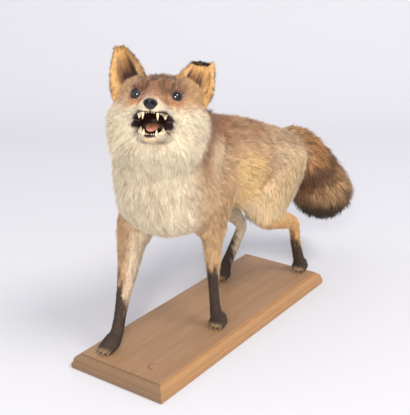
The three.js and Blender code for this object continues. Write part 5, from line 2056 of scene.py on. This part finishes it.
def board_rows(height):
    """The board's edge from the table to its top, as (inset, height) rows."""
    face, inset = BOARD["face"], BOARD["inset"]
    rows = [
        (0.8, 0.0), (0.0, 0.8), (0.0, face - 0.7), (0.7, face), (2.0, face + 0.6), (2.3, face + 1.4),
    ]
    for k in range(1, BOARD["fillet"] + 1):
        angle = k / BOARD["fillet"] * math.pi / 2
        rows.append((
            mix(2.4, inset, 1.0 - math.cos(angle)),
            mix(face + 2.0, height - BOARD["step"], math.sin(angle)),
        ))
    return rows + [(inset, height - 0.7), (inset + 0.7, height)]


def long_grain(wood, stretch, **values):
    """A noise drawn out along the board."""
    mapping = wood.add("Mapping", Scale=stretch)
    wood.link(wood.place(), mapping.inputs["Vector"])
    texture = wood.add("TexNoise", **values)
    wood.link(mapping.outputs["Vector"], texture.inputs["Vector"])
    return texture.outputs["Fac"]


def wood_material(settings):
    """Plain brown wood: grain along the board, pale moulded edges, and ends darkened partly by their
    end grain and partly by painted shade.
    """
    wood = Finish("Board wood", roughness=0.5, specular_ior_level=0.35)
    rings = long_grain(wood, (34.0, 2.6, 34.0), Scale=1.4, Detail=6.0, Distortion=0.6)
    fibre = long_grain(wood, (900.0, 28.0, 900.0), Scale=1.0, Detail=3.0)
    grain = wood.ramp(rings, {0.36: tuple(settings.dark), 0.62: tuple(settings.light)})
    pore = wood.ramp(fibre, {0.34: (0.8, 0.77, 0.74), 0.6: WHITE})
    tint = wood.mix("MULTIPLY", 0.8, grain, pore)
    # The darker ends are partly end grain and partly painted shade of the faces turned from the key
    # light.
    for name, colour in (("Moulding", settings.edge), ("EndGrain", settings.end)):
        shaded = wood.mix("MULTIPLY", 1.0, tuple(colour), pore)
        tint = wood.mix("MIX", wood.attribute(name)["Fac"], tint, shaded)
    wood.feed(wood.mix("MULTIPLY", arc_mark(wood), tint, ARC["shade"]), "Base Color")
    wood.bump(fibre, 0.22, 0.0005)
    return wood.material


# The arc's middle and radius, how far its edge fades and how dark it is, in metres.
ARC = {
    "x": 0.046, "y": -0.229, "radius": 0.0105, "thick": 0.0028, "from": 0.001, "to": -0.005,
    "strength": 0.75, "shade": (0.52, 0.42, 0.36),
}


def arc_mark(wood):
    """A mask for the small dark arc pressed into the board's top near its front end."""
    split = wood.add("SeparateXYZ")
    wood.link(wood.place(), split.inputs["Vector"])

    def sums(kind, *values):
        node = wood.add("Math")
        node.operation = kind
        for socket, value in zip(node.inputs, values):
            if hasattr(value, "is_linked"):
                wood.link(value, socket)
            else:
                socket.default_value = value
        return node.outputs[0]

    def fade(source, start, end):
        node = wood.add("MapRange", From_Min=start, From_Max=end)
        node.interpolation_type = "SMOOTHSTEP"
        wood.link(source, node.inputs["Value"])
        return node.outputs["Result"]

    x = sums("SUBTRACT", split.outputs["X"], ARC["x"])
    y = sums("SUBTRACT", split.outputs["Y"], ARC["y"])
    away = sums("SQRT", sums("ADD", sums("MULTIPLY", x, x), sums("MULTIPLY", y, y)))
    off = sums("ABSOLUTE", sums("SUBTRACT", away, ARC["radius"]))
    ring = fade(off, ARC["thick"], ARC["thick"] * 0.3)
    side = fade(sums("ADD", x, sums("MULTIPLY", y, 0.5)), ARC["from"], ARC["to"])
    return sums("MULTIPLY", sums("MULTIPLY", ring, side), ARC["strength"])


class FOX_OT_board(bpy.types.Operator):
    """Makes the moulded wooden board"""

    bl_idname = "fox.board"
    bl_label = "Board"

    def execute(self, context):
        settings = context.scene.fox_board
        half = np.array([settings.width, settings.length]) / MM / 2
        rows = board_rows(settings.height / MM)
        corners = np.array([(-1, -1), (1, -1), (1, 1), (-1, 1)], float)
        points, faces, moulding, end_grain_shade = [], [], [], []
        for side in range(4):
            a, b = corners[side], corners[(side + 1) % 4]
            start = len(points)
            for inset, height in rows:
                for corner in (a, b):
                    points.append((*(corner * (half - inset)), height))
                    moulding.append(1.0)
                    end_grain_shade.append(1.0 if side in (0, 2) else 0.0)
            for k in range(len(rows) - 1):
                p = start + 2 * k
                faces += [(p, p + 1, p + 3), (p, p + 3, p + 2)]
        for (inset, height), order in ((rows[0], (0, 2, 1, 0, 3, 2)), (rows[-1], (0, 1, 2, 0, 2, 3))):
            start = len(points)
            points += [(*(corner * (half - inset)), height) for corner in corners]
            moulding += [0.0] * 4
            end_grain_shade += [0.0] * 4
            faces += [tuple(start + k for k in order[:3]), tuple(start + k for k in order[3:])]
        obj = make_object("wooden_board", np.array(points), np.array(faces), wood_material(settings),
                          values={"Moulding": moulding, "EndGrain": end_grain_shade}, smooth=False)
        mount(obj, "board", "base_board")
        return {"FINISHED"}


# -------- the stage

CAMERA = {
    "at": (0.79149, -1.14573, 0.73470), "azimuth": 35.03782, "elevation": 19.78476, "lens": 69.65,
}
SENSOR = 36.0
SWEEP = {
    "width": 8.0, "front": -4.0, "back": 2.6, "bend": 1.2, "high": 4.0, "steps": 24, "under": -0.0005,
}
LIGHTS = {
    # where it stands, where it points, its size, its strength against the setting, its colour
    "Key": ((3.7, -0.3, 5.6), (0, 0, 0.25), 2.7, 26.0, (1.0, 0.98, 0.95)),
    "Front": ((1.75, -3.0, 1.9), (0.05, -0.2, 0.4), 1.1, 12.0, (1.0, 0.985, 0.96)),
}
SKY = (0.93, 0.94, 1.0, 1.0)


def sweep_mesh():
    """A floor that curves up into a backdrop, square to the camera."""
    bend, foot = SWEEP["bend"], SWEEP["back"] - SWEEP["bend"]
    rows = [(SWEEP["front"], SWEEP["under"]), (foot, SWEEP["under"])]
    for k in range(1, SWEEP["steps"] + 1):
        angle = k / SWEEP["steps"] * math.pi / 2
        rows.append((foot + bend * math.sin(angle), bend * (1 - math.cos(angle))))
    rows.append((SWEEP["back"], SWEEP["high"]))
    turn = math.radians(CAMERA["azimuth"])
    ahead = np.array([-math.sin(turn), math.cos(turn)])
    side = np.array([math.cos(turn), math.sin(turn)])
    points, faces = [], []
    for far, high in rows:
        for hand in (-1, 1):
            points.append((*(ahead * far + side * hand * SWEEP["width"] / 2), high))
    for k in range(len(rows) - 1):
        p = 2 * k
        faces += [(p, p + 1, p + 3), (p, p + 3, p + 2)]
    return np.array(points) / MM, np.array(faces)


def area_light(name, at, toward, size, power, colour):
    data = bpy.data.lights.new(name, "AREA")
    data.shape = "DISK"
    data.size = size
    data.energy = power
    data.color = colour
    obj = placed(name, data)
    obj.location = at
    obj.rotation_euler = (Vector(toward) - Vector(at)).to_track_quat("-Z", "Y").to_euler()
    obj.visible_camera = False


class FOX_OT_stage(bpy.types.Operator):
    """Sets the pale floor, the soft lights and the camera"""

    bl_idname = "fox.stage"
    bl_label = "Stage"

    def execute(self, context):
        settings = context.scene.fox_stage
        tint = tuple(settings.floor)
        paper = Finish("Paper", roughness=0.9, specular_ior_level=0.1, base_color=tint)
        floor = make_object("paper_sweep", *sweep_mesh(), paper.material)
        world = bpy.data.worlds.new("Studio")
        world.use_nodes = True
        back = world.node_tree.nodes["Background"]
        back.inputs["Color"].default_value = SKY
        back.inputs["Strength"].default_value = settings.sky
        context.scene.world = world
        for name, (at, toward, size, strength, colour) in LIGHTS.items():
            area_light(name, at, toward, size, settings.key * strength, colour)
        camera = bpy.data.cameras.new("Camera")
        camera.sensor_fit = "VERTICAL"
        camera.sensor_height = SENSOR
        camera.lens = CAMERA["lens"]
        obj = placed("Camera", camera)
        obj.location = CAMERA["at"]
        tilt = math.radians(90 - CAMERA["elevation"])
        obj.rotation_euler = (tilt, 0, math.radians(CAMERA["azimuth"]))
        context.scene.camera = obj
        context.scene.view_settings.view_transform = "Standard"
        return {"FINISHED"}


# -------- panel and running

OPERATORS = (
    FOX_OT_skin, FOX_OT_coat, FOX_OT_eyes, FOX_OT_nose, FOX_OT_mouth, FOX_OT_claws,
    FOX_OT_whiskers, FOX_OT_board, FOX_OT_stage,
)


class FOX_PT_panel(bpy.types.Panel):
    """Lists the fox's pieces"""

    bl_label = "Mounted fox"
    bl_idname = "FOX_PT_panel"
    bl_space_type = "VIEW_3D"
    bl_region_type = "UI"
    bl_category = "Fox"

    def draw(self, context):
        for operator in OPERATORS:
            self.layout.operator(operator.bl_idname)


SETTINGS = {
    "fox_coat": FoxCoatSettings, "fox_parts": FoxPartSettings,
    "fox_board": FoxBoardSettings, "fox_stage": FoxStageSettings,
}


def register():
    for kind in (*SETTINGS.values(), *OPERATORS, FOX_PT_panel):
        bpy.utils.register_class(kind)
    for name, kind in SETTINGS.items():
        setattr(bpy.types.Scene, name, PointerProperty(type=kind))


def unregister():
    for name in SETTINGS:
        delattr(bpy.types.Scene, name)
    for kind in reversed((*SETTINGS.values(), *OPERATORS, FOX_PT_panel)):
        bpy.utils.unregister_class(kind)


def main():
    register()
    for operator in OPERATORS:
        family, name = operator.bl_idname.split(".")
        getattr(getattr(bpy.ops, family), name)()


if __name__ == "__main__":
    main()
